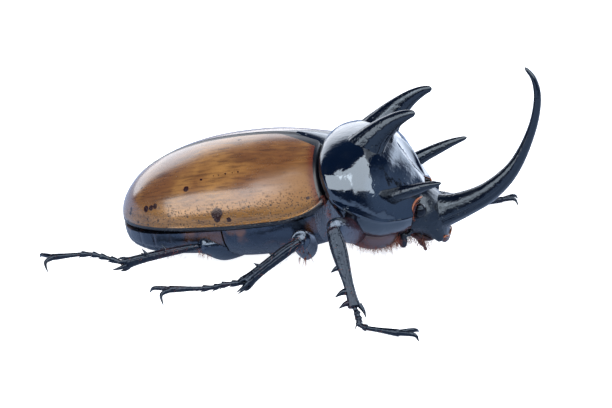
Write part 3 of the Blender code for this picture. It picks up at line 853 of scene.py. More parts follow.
@dataclass
class Trunk:
    """The underside of the trunk: hind thorax and the ringed abdomen with its last plate."""

    body: Body
    sides: int = 120
    rings: tuple = (-13.0, -16.6, -20.2, -23.6, -26.8, -30.0)
    rust: tuple = (
        (-9.8, -15.3, 9.8, 1.4, 0.7), (-8.1, -15.3, 9.8, 1.4, 0.9), (-13.6, -14.4, 8.2, 3.4, 0.6),
        (-17.5, -13.5, 8.8, 3.0, 0.6), (4.9, -12.0, 11.0, 2.2, 0.5), (-22.5, -12.2, 8.4, 1.0, 0.3),
    )

    def grid(self, front: float, rear: float, rows: int) -> tuple:
        """A length of the trunk: half superellipses below a flat top, with ring grooves.

        Args:
            front: u of its front end.
            rear: u of its rear end.
            rows: number of rings of points.

        Returns:
            The grid and its red mask.
        """
        b = self.body
        s = np.linspace(0, 1, rows)[:, None]
        u = front + (rear - front) * np.sin(HALF_TURN / 2 * s)
        top = b.margin_w(u - b.lean_reach * step(u, -6.0, b.base_u)) - 0.5 - b.gap
        square = 0.32 * step(-u, 12.0, 27.0)
        low = np.minimum(b.belly_w(u), top - 0.8)
        wide = np.maximum(b.half_width(np.minimum(u, b.base_u), b.trunk_square) - b.inset, 0.9)
        t = np.linspace(0, HALF_TURN, self.sides)[None, :]
        groove = np.zeros_like(u)
        for at in self.rings:
            groove = groove + 0.10 * bump(u, at, 0.22) - 0.04 * bump(u, at + 0.7, 0.6)
        side_dent = 0.30 * bump(t, 0.42, 0.10) + 0.30 * bump(t, HALF_TURN - 0.42, 0.10)
        shrink = 1 - (groove + side_dent * step(-u, 8.0, 11.0)) / np.maximum(wide, 4)
        c = np.cos(t)
        y = wide * np.sign(c) * np.abs(c) ** (0.8 - square) * shrink
        w = top - (top - low) * np.sin(t) ** (0.9 - square) * shrink
        grid = b.world(u, y, w)
        red = np.clip(groove * 2.0, 0, 1) * 0.3
        return grid, np.clip(np.maximum(red, patches(grid, self.rust, 0.5, 1.0)), 0, 1)

    def build(self, finish: Material) -> None:
        """Makes the hind thorax and the abdomen."""
        b = self.body
        for name, node, front, rear, rows in (
            ("hind_thorax", "pterothorax", 6.9, b.waist_u, 90),
            ("abdomen_plates", "abdomen", b.waist_u - b.gap, b.tail_u - 0.05, 170),
        ):
            grid, red = self.grid(front, rear, rows)
            Surface.of(name, grid, red=red, dull=0.35).build(finish, "belly", node)


@dataclass
class Prothorax:
    """The great shield behind the head, hollowed in front, and the front legs' hips under it.

    A station is x, lean, half width, top, middle, underside, and the powers above and below.
    """

    stations: tuple = (
        (6.9, -0.50, 13.2, 23.6, 17.4, 9.6, 2.10, 2.00),
        (8.9, -0.42, 14.8, 24.8, 16.6, 8.0, 2.30, 2.00),
        (11.4, -0.25, 15.3, 25.8, 15.5, 7.0, 2.30, 2.00),
        (13.8, -0.10, 15.1, 26.1, 14.7, 6.6, 2.30, 2.00),
        (16.4, 0.00, 13.9, 24.6, 13.6, 6.8, 1.85, 2.10),
        (18.0, 0.02, 12.4, 23.3, 13.1, 7.3, 1.60, 2.15),
        (19.5, 0.07, 10.9, 21.6, 12.9, 7.9, 1.35, 2.25),
        (20.7, 0.13, 9.7, 19.6, 12.8, 8.4, 1.20, 2.30),
        (21.8, 0.20, 8.2, 17.7, 12.8, 8.8, 1.25, 2.40),
    )
    face_x: float = 16.45
    face_top: float = 26.0
    face_foot: float = 16.7
    face_slope: float = 0.683
    face_half: float = 5.0
    hollow: float = 0.7
    hollow_z: tuple = (16.5, 20.0)
    bead: float = 0.28
    tuck: float = 0.7
    tuck_share: float = 0.05
    tuck_half: tuple = (14, 9)
    hip: tuple = (
        (8.4, 10.4, 10.9, 0.4, 0.4), (10.4, 9.8, 10.1, 2.2, 1.8), (13.4, 9.4, 9.3, 3.2, 2.6),
        (16.4, 8.2, 8.8, 2.8, 2.2), (19.0, 6.4, 9.0, 0.5, 0.5),
    )
    rows: int = 190
    sides: int = 260

    def grid(self) -> tuple:
        """Superellipse sections, cut off in front by a sloping face that is hollowed between the horns.

        A section's y goes with cos(t)^(2/n) and its z with sin(t)^(2/n), n being one power above its
        middle and another below. Every point of the dome that lies ahead of the face is drawn back
        onto it, which leaves a sharp crease from each upper horn down to the lower one.

        Returns:
            The grid and a dict of masks.
        """
        at = np.linspace(0, 1, self.rows)
        x, lean, wide, top, middle, low, above, below = (
            v[:, None] for v in through(self.stations, at).T)
        turn = np.linspace(0, FULL_TURN, self.sides, endpoint=False)[None, :]
        c, s = np.cos(turn), np.sin(turn)
        from_side = np.minimum(np.abs(turn - HALF_TURN), np.minimum(turn, FULL_TURN - turn))
        bead = self.bead * bump(from_side, 0.0, 0.045) * (np.abs(c) > 0.5)
        power = np.where(s > 0, above, below)
        y = np.sign(c) * np.abs(c) ** (2 / power) * (wide + bead)
        reach = np.where(s > 0, top - middle, middle - low)
        z = middle + np.sign(s) * np.abs(s) ** (2 / power) * reach
        px = x + lean * (z - middle)
        face = self.face_x + self.face_slope * (self.face_top - z)
        up_face = (z - self.face_foot) / (self.face_top - self.face_foot)
        reach_y = self.face_half * np.clip(up_face, 0.05, 1)
        face = face - self.hollow * np.clip(1 - (y / reach_y) ** 2, 0, 1) * step(z, *self.hollow_z)
        px = np.where(z > self.face_foot - 1, np.minimum(px, face), px)
        back = np.clip(at[:, None] / self.tuck_share, 0, 1)
        tuck = self.tuck * (1 - np.sqrt(1 - (1 - back) ** 2))
        tuck_wide, tuck_high = (1 - tuck / half for half in self.tuck_half)
        y, z = y * tuck_wide, middle + (z - middle) * tuck_high
        striae = bump(s, -0.12, 0.12) * (np.abs(c) > 0.4) * step(-px, -16.0, -9.0)
        under = step(-s, 0.35, 0.75)
        return np.stack([px, y, z], -1), {"red": 0.9 * under, "pitted": striae, "dull": 0.5 * under}

    def build(self, finish: Material, hips: Material) -> None:
        """Makes the shield, and the swollen first joints of the front legs, folded under it.

        Args:
            finish: the shield's material.
            hips: the first joints' material.
        """
        grid, masks = self.grid()
        Surface.of("pronotum", grid, **masks).build(finish, "black_cuticle", "prothorax", 40.0)
        for side in Side:
            grid = sweep(np.array(self.hip) * side.mirror, 60, 60, blunt=(0.1, 0.1))
            surface = Surface.of(f"fore_coxa_{side.word}", grid, red=0.6, dull=0.5)
            surface.build(hips, "black_cuticle", "prothorax")


@dataclass
class Horns:
    """The two pairs on the prothorax and the long curved one on the head."""

    upper: tuple = (
        (10.6, 4.4, 20.6, 3.2, 4.0), (12.3, 5.3, 23.5, 2.8, 3.5), (14.0, 6.0, 26.0, 2.1, 2.7),
        (15.9, 6.6, 28.2, 1.55, 2.0), (17.9, 7.1, 30.0, 1.2, 1.45), (19.8, 7.4, 31.2, 0.85, 1.0),
        (21.6, 7.5, 31.9, 0.45, 0.5),
    )
    lower: tuple = (
        (15.0, 8.4, 14.8, 1.6, 1.8), (17.6, 9.5, 16.4, 1.4, 1.5), (19.9, 10.5, 17.8, 1.2, 1.25),
        (22.4, 11.4, 19.1, 1.05, 1.05), (24.9, 12.1, 20.3, 0.75, 0.75), (27.5, 12.7, 21.3, 0.35, 0.32),
    )
    head: tuple = (
        (22.0, 0.0, 10.4, 4.8, 4.0), (24.4, 0.0, 10.9, 3.8, 3.5), (26.8, 0.0, 11.7, 2.8, 2.85),
        (29.6, 0.0, 13.0, 2.3, 2.35), (33.2, 0.0, 15.2, 1.8, 1.95), (36.3, 0.0, 18.2, 1.5, 1.6),
        (38.6, 0.0, 21.6, 1.25, 1.2), (40.4, 0.0, 26.0, 1.1, 0.9), (41.5, 0.0, 30.4, 0.95, 0.75),
        (41.7, 0.0, 34.4, 0.8, 0.65), (40.9, 0.0, 37.4, 0.6, 0.5), (39.3, 0.0, 39.3, 0.35, 0.3),
    )

    @staticmethod
    def furrows(at: Array, turn: Array) -> Array:
        """Wrinkles that fan out at a horn's root and die out along it, and one long side groove."""
        root = np.clip(1 - at / 0.55, 0, 1)
        return (1 + 0.025 * root * np.sin(13 * turn + 3 * at) + 0.12 * root**2
                - 0.07 * bump(turn, 1.1, 0.16) * step(at, 0.25, 0.5))

    @staticmethod
    def head_groove(at: Array, turn: Array) -> Array:
        """A groove along each flank of the head horn, with a ridge over it, fading to the tip."""
        fade = 1 - step(at, 0.35, 0.62)
        shape = 1.0 + 0 * turn * at
        for flank in (-0.35, HALF_TURN + 0.35):
            away = apart(turn, flank)
            shape = shape - 0.14 * fade * bump(away, 0, 0.13) + 0.06 * fade * bump(away, 0.0, 0.42)
        return shape

    def build(self, finish: Material) -> None:
        """Makes the five horns.

        Args:
            finish: their material.
        """
        for side in Side:
            for word, keys, flat in (
                ("upper", self.upper, (0.0, side.value * 0.94, 0.34)),
                ("lower", self.lower, (0.0, 1.0, 0.0)),
            ):
                grid = sweep(np.array(keys) * side.mirror, 90, 72, flat, self.furrows, (0.0, 0.05))
                pitted = 0.2 + 0.5 * np.clip(1 - along(grid) / 0.4, 0, 1)
                surface = Surface.of(f"thorax_horn_{word}_{side.word}", grid, pitted=pitted, dull=0.0)
                surface.build(finish, "black_cuticle", f"horn_{word}_{side.word}")
        grid = sweep(self.head, 220, 90, shape=self.head_groove, blunt=(0.0, 0.03))
        at = along(grid)
        surface = Surface.of("brow_horn", grid, pitted=1.1 * np.clip(1 - at / 0.33, 0, 1),
                             dull=0.3 * np.clip(1 - at / 0.3, 0, 1))
        surface.build(finish, "black_cuticle", "horn_head")


@dataclass
class Head:
    """Head capsule with eyes, cheeks, upturned lobes of the clypeus, feelers and mouthparts."""

    capsule: tuple = (
        (17.4, 0.0, 11.4, 5.6, 5.4), (19.6, 0.0, 11.4, 6.0, 5.2), (21.8, 0.0, 11.0, 6.1, 4.6),
        (23.6, 0.0, 9.8, 5.2, 3.6), (25.2, 0.0, 7.8, 4.0, 2.0), (26.2, 0.0, 6.2, 3.2, 0.8),
    )
    eye: tuple = (22.6, 6.0, 13.3)
    eye_radius: float = 1.2
    rust: float = 0.9
    stalk: tuple = (
        (21.4, 4.6, 9.2, 0.45, 0.45), (20.4, 5.8, 8.2, 0.36, 0.36), (19.4, 5.4, 8.2, 0.5, 0.45),
    )
    chin: tuple = (
        (19.4, 0, 7.6, 1.8, 1.2), (21.6, 0, 6.9, 2.7, 1.4), (23.6, 0, 6.4, 2.4, 1.0),
        (24.5, 0, 6.0, 1.4, 0.4),
    )
    palps: tuple = (
        ((22.4, 2.2, 6.6), (22.9, 3.0, 5.5), (23.4, 3.0, 4.4)),
        ((21.4, 1.4, 6.2), (21.9, 1.6, 5.4), (22.4, 1.4, 4.7)),
    )
    eye_ridge: tuple = (
        (21.7, 7.0, 11.6), (21.6, 7.7, 13.1), (21.6, 7.3, 14.4), (22.0, 6.0, 15.15), (22.6, 4.2, 15.2),
    )
    lobe_edge: tuple = ((26.9, 0.3, 6.5), (27.05, 1.2, 6.9), (26.9, 2.2, 7.35), (26.4, 2.9, 7.2))

    def capsule_grid(self) -> tuple:
        """The capsule and its masks: a sweep with a rough brow, red below and at the front edge."""
        grid = sweep(self.capsule, 90, 110, blunt=(0.0, 0.06))
        at = along(grid)
        under = step(-(grid[..., 2] - (11.5 - 0.55 * (grid[..., 0] - 18))), 1.2, 3.0)
        red = np.clip(under * self.rust, 0, 1) * (1 - step(at, 0.6, 0.75))
        return grid, {"pitted": 1.2 * step(at, 0.25, 0.5), "dull": 0.4 * step(at, 0.3, 0.5),
                      "red": red + self.rust * step(at, 0.955, 0.985)}

    def lobes(self) -> Array:
        """The two upturned lobes of the clypeus, as one swept lip that dips in the middle."""
        t = np.linspace(-1, 1, 41)
        size = 0.62 * np.sqrt(np.clip(1 - t**4, 0.02, 1)) * (1 + 0.25 * bump(np.abs(t), 0.6, 0.25))
        keys = np.stack([26.6 - 0.5 * t**2, 3.0 * t, 6.2 + 0.9 * np.abs(t) ** 1.5, size, size * 0.8], 1)
        return sweep(keys, 60, 20, wide=UP)

    @staticmethod
    def stalk_beads(at: Array, turn: Array) -> Array:
        """Swellings along a feeler's stalk: 1 + 0.22 sin(34 at)."""
        return 1 + 0.22 * np.sin(at * 34) + 0 * turn

    @staticmethod
    def palp_joints(at: Array, turn: Array) -> Array:
        """Three joints along a mouth feeler: 0.85 + 0.3 times the size of sin(3 pi at)."""
        return 0.85 + 0.3 * np.abs(np.sin(at * 3 * HALF_TURN)) + 0 * turn

    def feeler(self, side: Side) -> list:
        """Stalk of the feeler in three joints and its club of three leaves.

        Args:
            side: the feeler's side.

        Returns:
            The grids.
        """
        parts = [sweep(np.array(self.stalk) * side.mirror, 50, 16, shape=self.stalk_beads)]
        for offset in (-0.75, 0.0, 0.75):
            keys = np.array([
                (19.4 + offset * 0.25, 5.4 + 0.55 * offset, 8.6, 0.45, 0.3),
                (19.38 + offset * 0.42, 5.4 + 0.78 * offset, 7.2, 0.78, 0.33),
                (19.3 + offset * 0.6, 5.4 + offset, 5.8, 0.5, 0.25),
            ])
            parts.append(sweep(keys * side.mirror, 30, 20, wide=(1, 0, 0), blunt=(0.15, 0.2)))
        return parts

    def mouth(self) -> list:
        """The grids of the chin block and of two pairs of small jointed feelers."""
        parts = [sweep(self.chin, 40, 40, blunt=(0.1, 0.1))]
        for side in Side:
            for palp in self.palps:
                keys = np.column_stack([palp, (0.36, 0.34, 0.26), (0.36, 0.34, 0.26)]) * side.mirror
                parts.append(sweep(keys, 30, 14, shape=self.palp_joints, blunt=(0.0, 0.12)))
        return parts

    def eye_grid(self, side: Side) -> Array:
        """The eye, an ellipsoid of latitude and longitude lines."""
        lat = np.linspace(0.02, HALF_TURN - 0.02, 40)[:, None]
        lon = np.linspace(0, FULL_TURN, 60, endpoint=False)[None, :]
        r = self.eye_radius
        ball = np.stack([r * np.sin(lat) * np.cos(lon), r * np.sin(lat) * np.sin(lon),
                         r * 1.08 * np.cos(lat) + 0 * lon], -1)
        return ball + np.array(self.eye) * side.mirror[:3]

    def edging(self, side: Side) -> list:
        """The rust-coloured ridge that curls round the front of each eye, and the lobe's edge."""
        tubes = []
        for path, size in ((self.eye_ridge, 0.20), (self.lobe_edge, 0.15)):
            keys = np.column_stack([path, np.full((len(path), 2), size)]) * side.mirror
            tubes.append(sweep(keys, 50, 12, wide=UP, blunt=(0.1, 0.1)))
        return tubes

    def build(self, finish: Material, eyes: Material) -> None:
        """Makes the head's pieces.

        Args:
            finish: the material of all but the eyes.
            eyes: the eyes' material.
        """
        grid, masks = self.capsule_grid()
        capsule = Surface.of("head_capsule", grid, **masks)
        capsule.add(self.lobes(), red=0.25, dull=0.3)
        for side in Side:
            for ridge in self.edging(side):
                capsule.add(ridge, red=1.0, dull=1.0)
        capsule.build(finish, "black_cuticle", "head")
        mouth = Surface.of("chin_and_palps", *self.mouth(), red=0.2, dull=0.5)
        mouth.build(finish, "belly", "mouthparts")
        for side in Side:
            eye = Surface.of(f"compound_eye_{side.word}", self.eye_grid(side))
            eye.build(eyes, "eye", f"eye_{side.word}")
            feeler = Surface.of(f"feeler_{side.word}", *self.feeler(side), dull=0.5)
            feeler.build(finish, "leg_cuticle", f"antenna_{side.word}")


@dataclass
class Leg:
    """One leg: thigh, toothed or spined shin, and a foot of five joints with two claws.

    Root to claws are places. The thigh's and the shin's sizes are pairs of half thicknesses from
    the upper end to the lower, and sag moves the thigh's middle.
    """

    pair: Pair
    side: Side
    root: tuple
    knee: tuple
    ankle: tuple
    middle: tuple
    end: tuple
    claws: tuple
    thigh_sizes: tuple
    sag: tuple
    shin_sizes: tuple
    bow: tuple = (0.0, 0.0, 0.2)
    tread: float = 0.85
    teeth: tuple = ((0.50, 2.3, 0.75), (0.79, 2.7, 0.8), (0.93, 2.6, 0.75))
    stops: tuple = (0, 9, 16, 23, 29, 40)

    @property
    def word(self) -> str:
        """The end of this leg's node names."""
        return f"{self.pair.value}_{self.side.word}"

    def down_shin(self, t: float) -> Array:
        """The point at the share t of the shin."""
        return between(self.knee, self.ankle, t)

    def ways(self) -> tuple:
        """Unit vectors along the shin, out of its outer edge and out of its flat face."""
        run = unit(np.subtract(self.ankle, self.knee))
        outer = np.array((-1.0, 0.0, 0.25))
        outer = unit(outer - run * outer.dot(run))
        return run, outer, np.cross(run, outer)

    @staticmethod
    def keel(at: Array, turn: Array) -> Array:
        """A keel along the thigh's underside, and a groove in its face that fades at both ends."""
        return (1 + 0.05 * bump(apart(turn, HALF_TURN), 0, 0.3)
                - 0.05 * bump(apart(turn, 0.9), 0, 0.2) * np.sin(HALF_TURN * at))

    def thigh(self) -> tuple:
        """The thigh: a tube with a keel below, a groove and a rounded knee.

        Returns:
            The grid and a dict of masks.
        """
        first, bulge, last = self.thigh_sizes
        keys = np.array([
            (*self.root, *first),
            (*(between(self.root, self.knee, 0.5) + self.sag), *bulge),
            (*between(self.root, self.knee, 0.88), *last),
            (*self.knee, last[0] * 0.8, last[1] * 0.8),
        ])
        grid = sweep(keys, 80, 56, wide=UP, shape=self.keel, blunt=(0.0, 0.16))
        reach = 0.85 if self.pair is Pair.FRONT else 0.3
        return grid, {"red": 0.6 * (1 - step(along(grid), 0.1, reach)), "pitted": 0.2, "dull": 0.0}

    @staticmethod
    def grooves(at: Array, turn: Array) -> Array:
        """Two long grooves on each flat face of the shin, and a flare at its foot."""
        shape = 1.0 + 0.10 * step(at, 0.85, 1.0)
        for place in (1.15, 1.9, -1.15, -1.9):
            shape = shape - 0.10 * bump(apart(turn, place), 0, 0.14) * np.sin(HALF_TURN * at) ** 0.5
        return shape

    def shin(self) -> list:
        """The grids of the shin and its spines."""
        _, outer, _ = self.ways()
        top, waist, foot = self.shin_sizes
        keys = np.array([
            (*self.knee, top[0] * 0.8, top[1] * 0.8), (*(self.down_shin(0.3) + self.bow), *top),
            (*(self.down_shin(0.72) + self.bow), *waist), (*self.ankle, *foot),
        ])
        tube = sweep(keys, 110, 60, wide=outer, shape=self.grooves, blunt=(0.06, 0.03))
        return [tube] + (self.front_teeth() if self.pair is Pair.FRONT else self.shin_spines())

    def front_teeth(self) -> list:
        """Three broad digging teeth on the outer edge, and a spur at the foot."""
        run, outer, _ = self.ways()
        parts = []
        for at, reach, width in self.teeth:
            base = self.down_shin(at)
            parts.append(spine(base, base + outer * reach + run * reach * 0.15, width, -run * 0.28, 14))
        spur = self.down_shin(0.97) - outer * 0.9
        parts.append(spine(spur, spur + run * 2.6 - outer * 0.5, 0.5, -outer * 0.2, 10))
        return parts

    def shin_spines(self) -> list:
        """Two rows of three spines along the shin, and a crown of six at its foot, two of them long.

        Returns:
            The grids.
        """
        run, outer, flat = self.ways()
        parts = []
        for at in (0.42, 0.68):
            for turn in (-0.9, 0.0, 0.9):
                way = outer * math.cos(turn) + flat * math.sin(turn)
                base = self.down_shin(at) + (0, 0, 0.3)
                parts.append(spine(base, base + way * 1.7 + run * 0.9, 0.4))
        for k, turn in enumerate(np.linspace(0, FULL_TURN, 6, endpoint=False)):
            way = outer * math.cos(turn) + flat * math.sin(turn)
            base = np.array(self.ankle) - run * 0.6 + way * 0.7
            length = 3.0 if k in (2, 4) else 1.7
            parts.append(spine(base, base + run * length + way * 0.45, 0.5, way * 0.15))
        return parts

    def foot(self) -> list:
        """Five joints, each flared at its end with two small thorns, and two claws.

        A joint's thorns are left out where they would come too near the floor.

        Returns:
            The grids.
        """
        path = np.array([self.ankle, between(self.ankle, self.middle, 0.55) + (0, 0, 0.25),
                         self.middle, self.end])
        line = through(path, np.linspace(0, 1, 41))
        line[:, 2] = np.maximum(line[:, 2], self.tread)
        parts = []
        for k in range(5):
            start, stop = line[self.stops[k]], line[self.stops[k + 1]]
            slim, thick = (0.42, 0.64) if k < 4 else (0.44, 0.66)
            run = unit(stop - start)
            keys = np.array([
                (*(start - run * 0.35), slim * 0.9, slim * 0.9), (*between(start, stop, 0.35), slim, slim),
                (*between(start, stop, 0.75), thick * 0.9, thick * 0.9),
                (*(stop + run * 0.05), thick, thick),
            ])
            parts.append(sweep(keys, 36, 24, wide=UP, blunt=(0.08, 0.10)))
            cross = unit(np.cross(run, UP))
            for sign in (-1, 1):
                base = stop - run * 0.25 + cross * sign * 0.35 - (0, 0, 0.2)
                if base[2] > 0.8:
                    thorn = base + run * 0.75 + cross * sign * 0.35 - (0, 0, 0.35)
                    parts.append(spine(base, thorn, 0.16))
        onward = unit(np.subtract(self.end, self.middle))
        inside = np.asarray(self.end) + (line[36] - self.end) * 0.3
        for tip in self.claws:
            knuckle = between(self.end, tip, 0.5) + (0, 0, 0.55) + 0.75 * onward
            keys = np.array([(*inside, 0.5, 0.45), (*knuckle, 0.38, 0.32), (*tip, 0.10, 0.08)])
            parts.append(sweep(keys, 30, 16, wide=UP, blunt=(0.0, 0.05)))
        return parts

    def build(self, finish: Material, smooth: Material) -> None:
        """Makes the leg's three pieces.

        Args:
            finish: the shin's and the foot's material.
            smooth: the thigh's smoother material.
        """
        grid, masks = self.thigh()
        thigh = Surface.of(f"thigh_{self.word}", grid, **masks)
        thigh.build(smooth, "leg_cuticle", f"femur_{self.word}")
        for name, node, parts in (("shin", "tibia", self.shin()), ("foot", "tarsus", self.foot())):
            surface = Surface(f"{name}_{self.word}")
            for k, grid in enumerate(parts):
                red = 0.25 * step(along(grid), 0.9, 1.0) if name == "foot" and k else 0.0
                surface.add(grid, pitted=0.4, dull=0.1, red=red)
            surface.build(finish, "leg_cuticle", f"{node}_{self.word}")


CLAW_Z = 0.15
LEG_SIZES = {
    Pair.FRONT: (((2.2, 1.9), (2.3, 1.8), (1.7, 1.6)), (0.0, 0.0, -0.5),
                 ((1.4, 1.1), (0.9, 0.8), (1.05, 0.8))),
    Pair.MIDDLE: (((2.0, 1.8), (2.5, 1.9), (2.0, 1.8)), (0.9, 0.0, -1.0),
                  ((1.05, 1.0), (1.0, 0.95), (1.2, 1.1))),
    Pair.HIND: (((2.2, 1.9), (3.0, 2.2), (1.6, 1.5)), (0.0, 0.0, -0.1),
                ((0.75, 0.75), (0.85, 0.85), (1.05, 0.95))),
}
LEG_PLACES = {
    (Pair.FRONT, Side.RIGHT): (
        (14.0, -6.0, 9.0), (10.3, -21.0, 14.6), (16.3, -29.0, 3.5), (18.0, -30.5, 0.9),
        (24.7, -31.2, 0.9), ((27.3, -28.2, CLAW_Z), (28.0, -31.9, CLAW_Z))),
    (Pair.FRONT, Side.LEFT): (
        (14.0, 6.0, 9.0), (13.0, 18.5, 7.2), (24.4, 27.2, 3.5), (26.8, 31.0, 0.9),
        (31.4, 35.8, 0.9), ((34.0, 38.9, CLAW_Z), (34.7, 35.0, CLAW_Z))),
    (Pair.MIDDLE, Side.RIGHT): (
        (1.5, -7.0, 6.0), (4.0, -18.6, 10.4), (-4.4, -24.0, 3.8), (-11.0, -25.0, 2.4),
        (-18.1, -26.0, 1.8), ((-17.9, -29.3, CLAW_Z), (-22.1, -24.6, CLAW_Z))),
    (Pair.MIDDLE, Side.LEFT): (
        (1.5, 7.0, 6.0), (4.0, 18.6, 10.4), (-4.4, 24.0, 3.8), (-11.0, 25.6, 2.4),
        (-18.0, 27.2, 1.8), ((-18.0, 30.5, CLAW_Z), (-22.0, 26.2, CLAW_Z))),
    (Pair.HIND, Side.RIGHT): (
        (-8.6, -6.5, 4.4), (-15.4, -16.0, 6.3), (-29.2, -18.0, 2.2), (-36.5, -18.0, 3.3),
        (-43.8, -17.6, 1.7), ((-43.1, -20.9, CLAW_Z), (-47.2, -14.6, CLAW_Z))),
    (Pair.HIND, Side.LEFT): (
        (-8.6, 6.5, 4.4), (-14.0, 17.2, 6.3), (-22.8, 27.0, 2.3), (-29.4, 29.8, 2.9),
        (-35.8, 31.2, 1.5), ((-35.0, 34.4, CLAW_Z), (-39.4, 29.6, CLAW_Z))),
}


@dataclass(frozen=True)
class Fringe:
    """Hairs scattered round a path: how many and how widely, and which way each points."""

    path: tuple
    count: int
    spread: float
    way: tuple
    length: float
    radius: float
    disorder: float


@dataclass
class Bristles:
    """Fringes and tufts of stiff hair, each hair a thin bent cone of its own."""

    seed: int = 5
    rings: int = 4
    sides: int = 4
    tuft: float = 0.003
    floor: float = 0.01

    def __post_init__(self) -> None:
        """Seeds the draws, so that each run gives the same coat."""
        self.random = np.random.default_rng(self.seed)

    def breast(self) -> list:
        """The fringes under the front of the body and at the shield's hind edge.

        Returns:
            The fringes.
        """
        near_way, far_way = (0.15, -0.35, -1.0), (0.15, 0.35, -1.0)
        rows = ((10.5, -13.2, 10.6), (14.0, -11.5, 8.6), (17.0, -9.2, 8.2), (18.9, -7.6, 8.4))
        belly = ((13.5, -8.0, 7.4), (17.0, -6.0, 7.2), (20.8, -4.0, 8.0))
        far = ((12.0, 11.5, 8.8), (16.0, 9.5, 8.2), (20.6, 6.0, 8.8))
        nape = ((8.6, -12.6, 11.4), (8.0, -13.4, 14.0), (6.8, -13.8, 17.6))
        return [Fringe(rows, 760, 0.45, near_way, 2.2, 0.027, 0.45),
                Fringe(belly, 500, 0.5, near_way, 2.6, 0.025, 0.50),
                Fringe(far, 400, 0.3, far_way, 2.2, 0.024, 0.40),
                Fringe(nape, 160, 0.15, (-0.6, -0.7, -0.3), 0.8, 0.018, 0.35)]

    def mouth(self) -> list:
        """The fringes at the mouth and in front of the near eye."""
        right = ((20.0, -3.6, 7.2), (22.4, -3.2, 6.2), (24.2, -2.2, 6.2))
        left = ((20.0, 3.6, 7.2), (22.4, 3.2, 6.2), (24.6, 2.2, 5.8))
        eye = ((21.7, -7.0, 11.6), (21.7, -7.8, 13.2), (21.8, -7.2, 14.4), (22.1, -6.0, 15.1))
        return [Fringe(right, 200, 0.5, (0.0, -0.4, -1.0), 1.5, 0.025, 0.50),
                Fringe(left, 240, 0.25, (0.1, 0.4, -1.0), 1.6, 0.022, 0.40),
                Fringe(eye, 260, 0.07, (0.7, -0.7, 0.1), 0.45, 0.024, 0.25)]

    def legs(self) -> list:
        """Short bristles under every thigh and along every shin and foot, and spines at one knee.

        Returns:
            The fringes.
        """
        rows = []
        for places in LEG_PLACES.values():
            root, knee, ankle, middle, end = map(np.array, places[:5])
            out = np.array((0.0, np.sign(knee[1]), 0.0))
            drop = np.array((0.0, 0.0, -1.2))
            under = ((root + knee) / 2 + drop, knee * 0.8 + root * 0.2 + drop, knee + drop)
            rows += [
                Fringe(under, 120, 0.35, out * 0.5 + (0, 0, -1.0), 1.1, 0.032, 0.35),
                Fringe((knee, (knee + ankle) / 2, ankle), 110, 0.55, out * 0.6 + (-0.5, 0, -0.6), 1.1,
                       0.032, 0.45),
                Fringe((ankle, middle, end), 90, 0.22, (-0.1, 0.0, -0.4), 0.8, 0.028, 0.55),
            ]
        knee_spines = ((2.9, -20.3, 8.9), (4.1, -17.8, 6.9), (5.6, -15.6, 7.4))
        return rows + [Fringe(knee_spines, 7, 0.08, (0.1, -0.3, -1.0), 1.9, 0.10, 0.15)]

    def roots(self, fringe: Fringe) -> tuple:
        """Roots scattered round a fringe's path, and their places on the unwrap."""
        at = self.random.random(fringe.count)
        jitter = self.random.normal(0, fringe.spread, (fringe.count, 3))
        unwrap = np.stack([at, self.random.random(fringe.count)], 1)
        return through(fringe.path, at) + jitter, unwrap

    def hairs(self, fringe: Fringe) -> tuple:
        """A fringe's hairs: rings that shrink along a line bent by the square of the way along it.

        Args:
            fringe: what to grow.

        Returns:
            Points of shape (hairs, rings, sides, 3), the masks along and tone, and the unwrap.
        """
        count = fringe.count
        roots, unwrap = self.roots(fringe)
        way = unit(np.asarray(fringe.way, float) + self.random.normal(0, fringe.disorder, (count, 3)))
        size = fringe.length * self.random.uniform(0.6, 1.15, count)
        bend = unit(np.cross(way, self.random.normal(0, 1, (count, 3)))) * size[:, None] * 0.16
        t = np.linspace(0, 1, self.rings)
        axis = (roots[:, None] + way[:, None] * (size[:, None] * t)[..., None]
                + bend[:, None] * (t**2)[None, :, None])
        first = unit(np.cross(way, (0.3, 0.5, 0.8)))
        second = np.cross(way, first)
        turn = np.linspace(0, FULL_TURN, self.sides, endpoint=False)
        thin = fringe.radius * (1 - 0.93 * t)
        ring = (np.cos(turn)[:, None] * first[:, None, None]
                + np.sin(turn)[:, None] * second[:, None, None])
        grid = axis[:, :, None] + thin[None, :, None, None] * ring
        tone = np.broadcast_to(self.random.random(count)[:, None, None], grid.shape[:3])
        patch = np.stack(np.meshgrid(t, turn / 6.3, indexing="ij"), -1) * self.tuft
        place = np.broadcast_to(t[None, :, None], grid.shape[:3])
        return grid, place, tone, unwrap[:, None, None] * 0.99 + patch[None]

    def coat(self, name: str, fringes: list, finish: Material, slot: str) -> None:
        """Makes one coat piece: every hair in one mesh, with its masks and its OFBake map.

        Args:
            name: the piece's name.
            fringes: what to grow.
            finish: the hair's material.
            slot: passed on to dress, which does not use it.
        """
        grown = [self.hairs(fringe) for fringe in fringes]
        grid, place, tone, maps = (np.concatenate(parts) for parts in zip(*grown))
        index = np.arange(self.rings * self.sides).reshape(self.rings, self.sides)
        shape = np.concatenate([wall(index), np.stack([index[0][::-1], index[-1]])])
        faces = (np.arange(len(grid))[:, None, None] * index.size + shape[None]).reshape(-1, 4)
        points = grid.reshape(-1, 3)
        points[:, 2] = np.maximum(points[:, 2], self.floor)
        masks = {"along": place.reshape(-1).astype(np.float32), "tone": tone.reshape(-1).astype(np.float32)}
        mesh = make_mesh(name, points, faces.tolist(), masks)
        unwrap = maps.reshape(-1, 2)[faces.reshape(-1)].astype(np.float32)
        mesh.uv_layers.new(name="OFBake").data.foreach_set("uv", unwrap.ravel())
        dress(put(name, mesh), finish, slot)

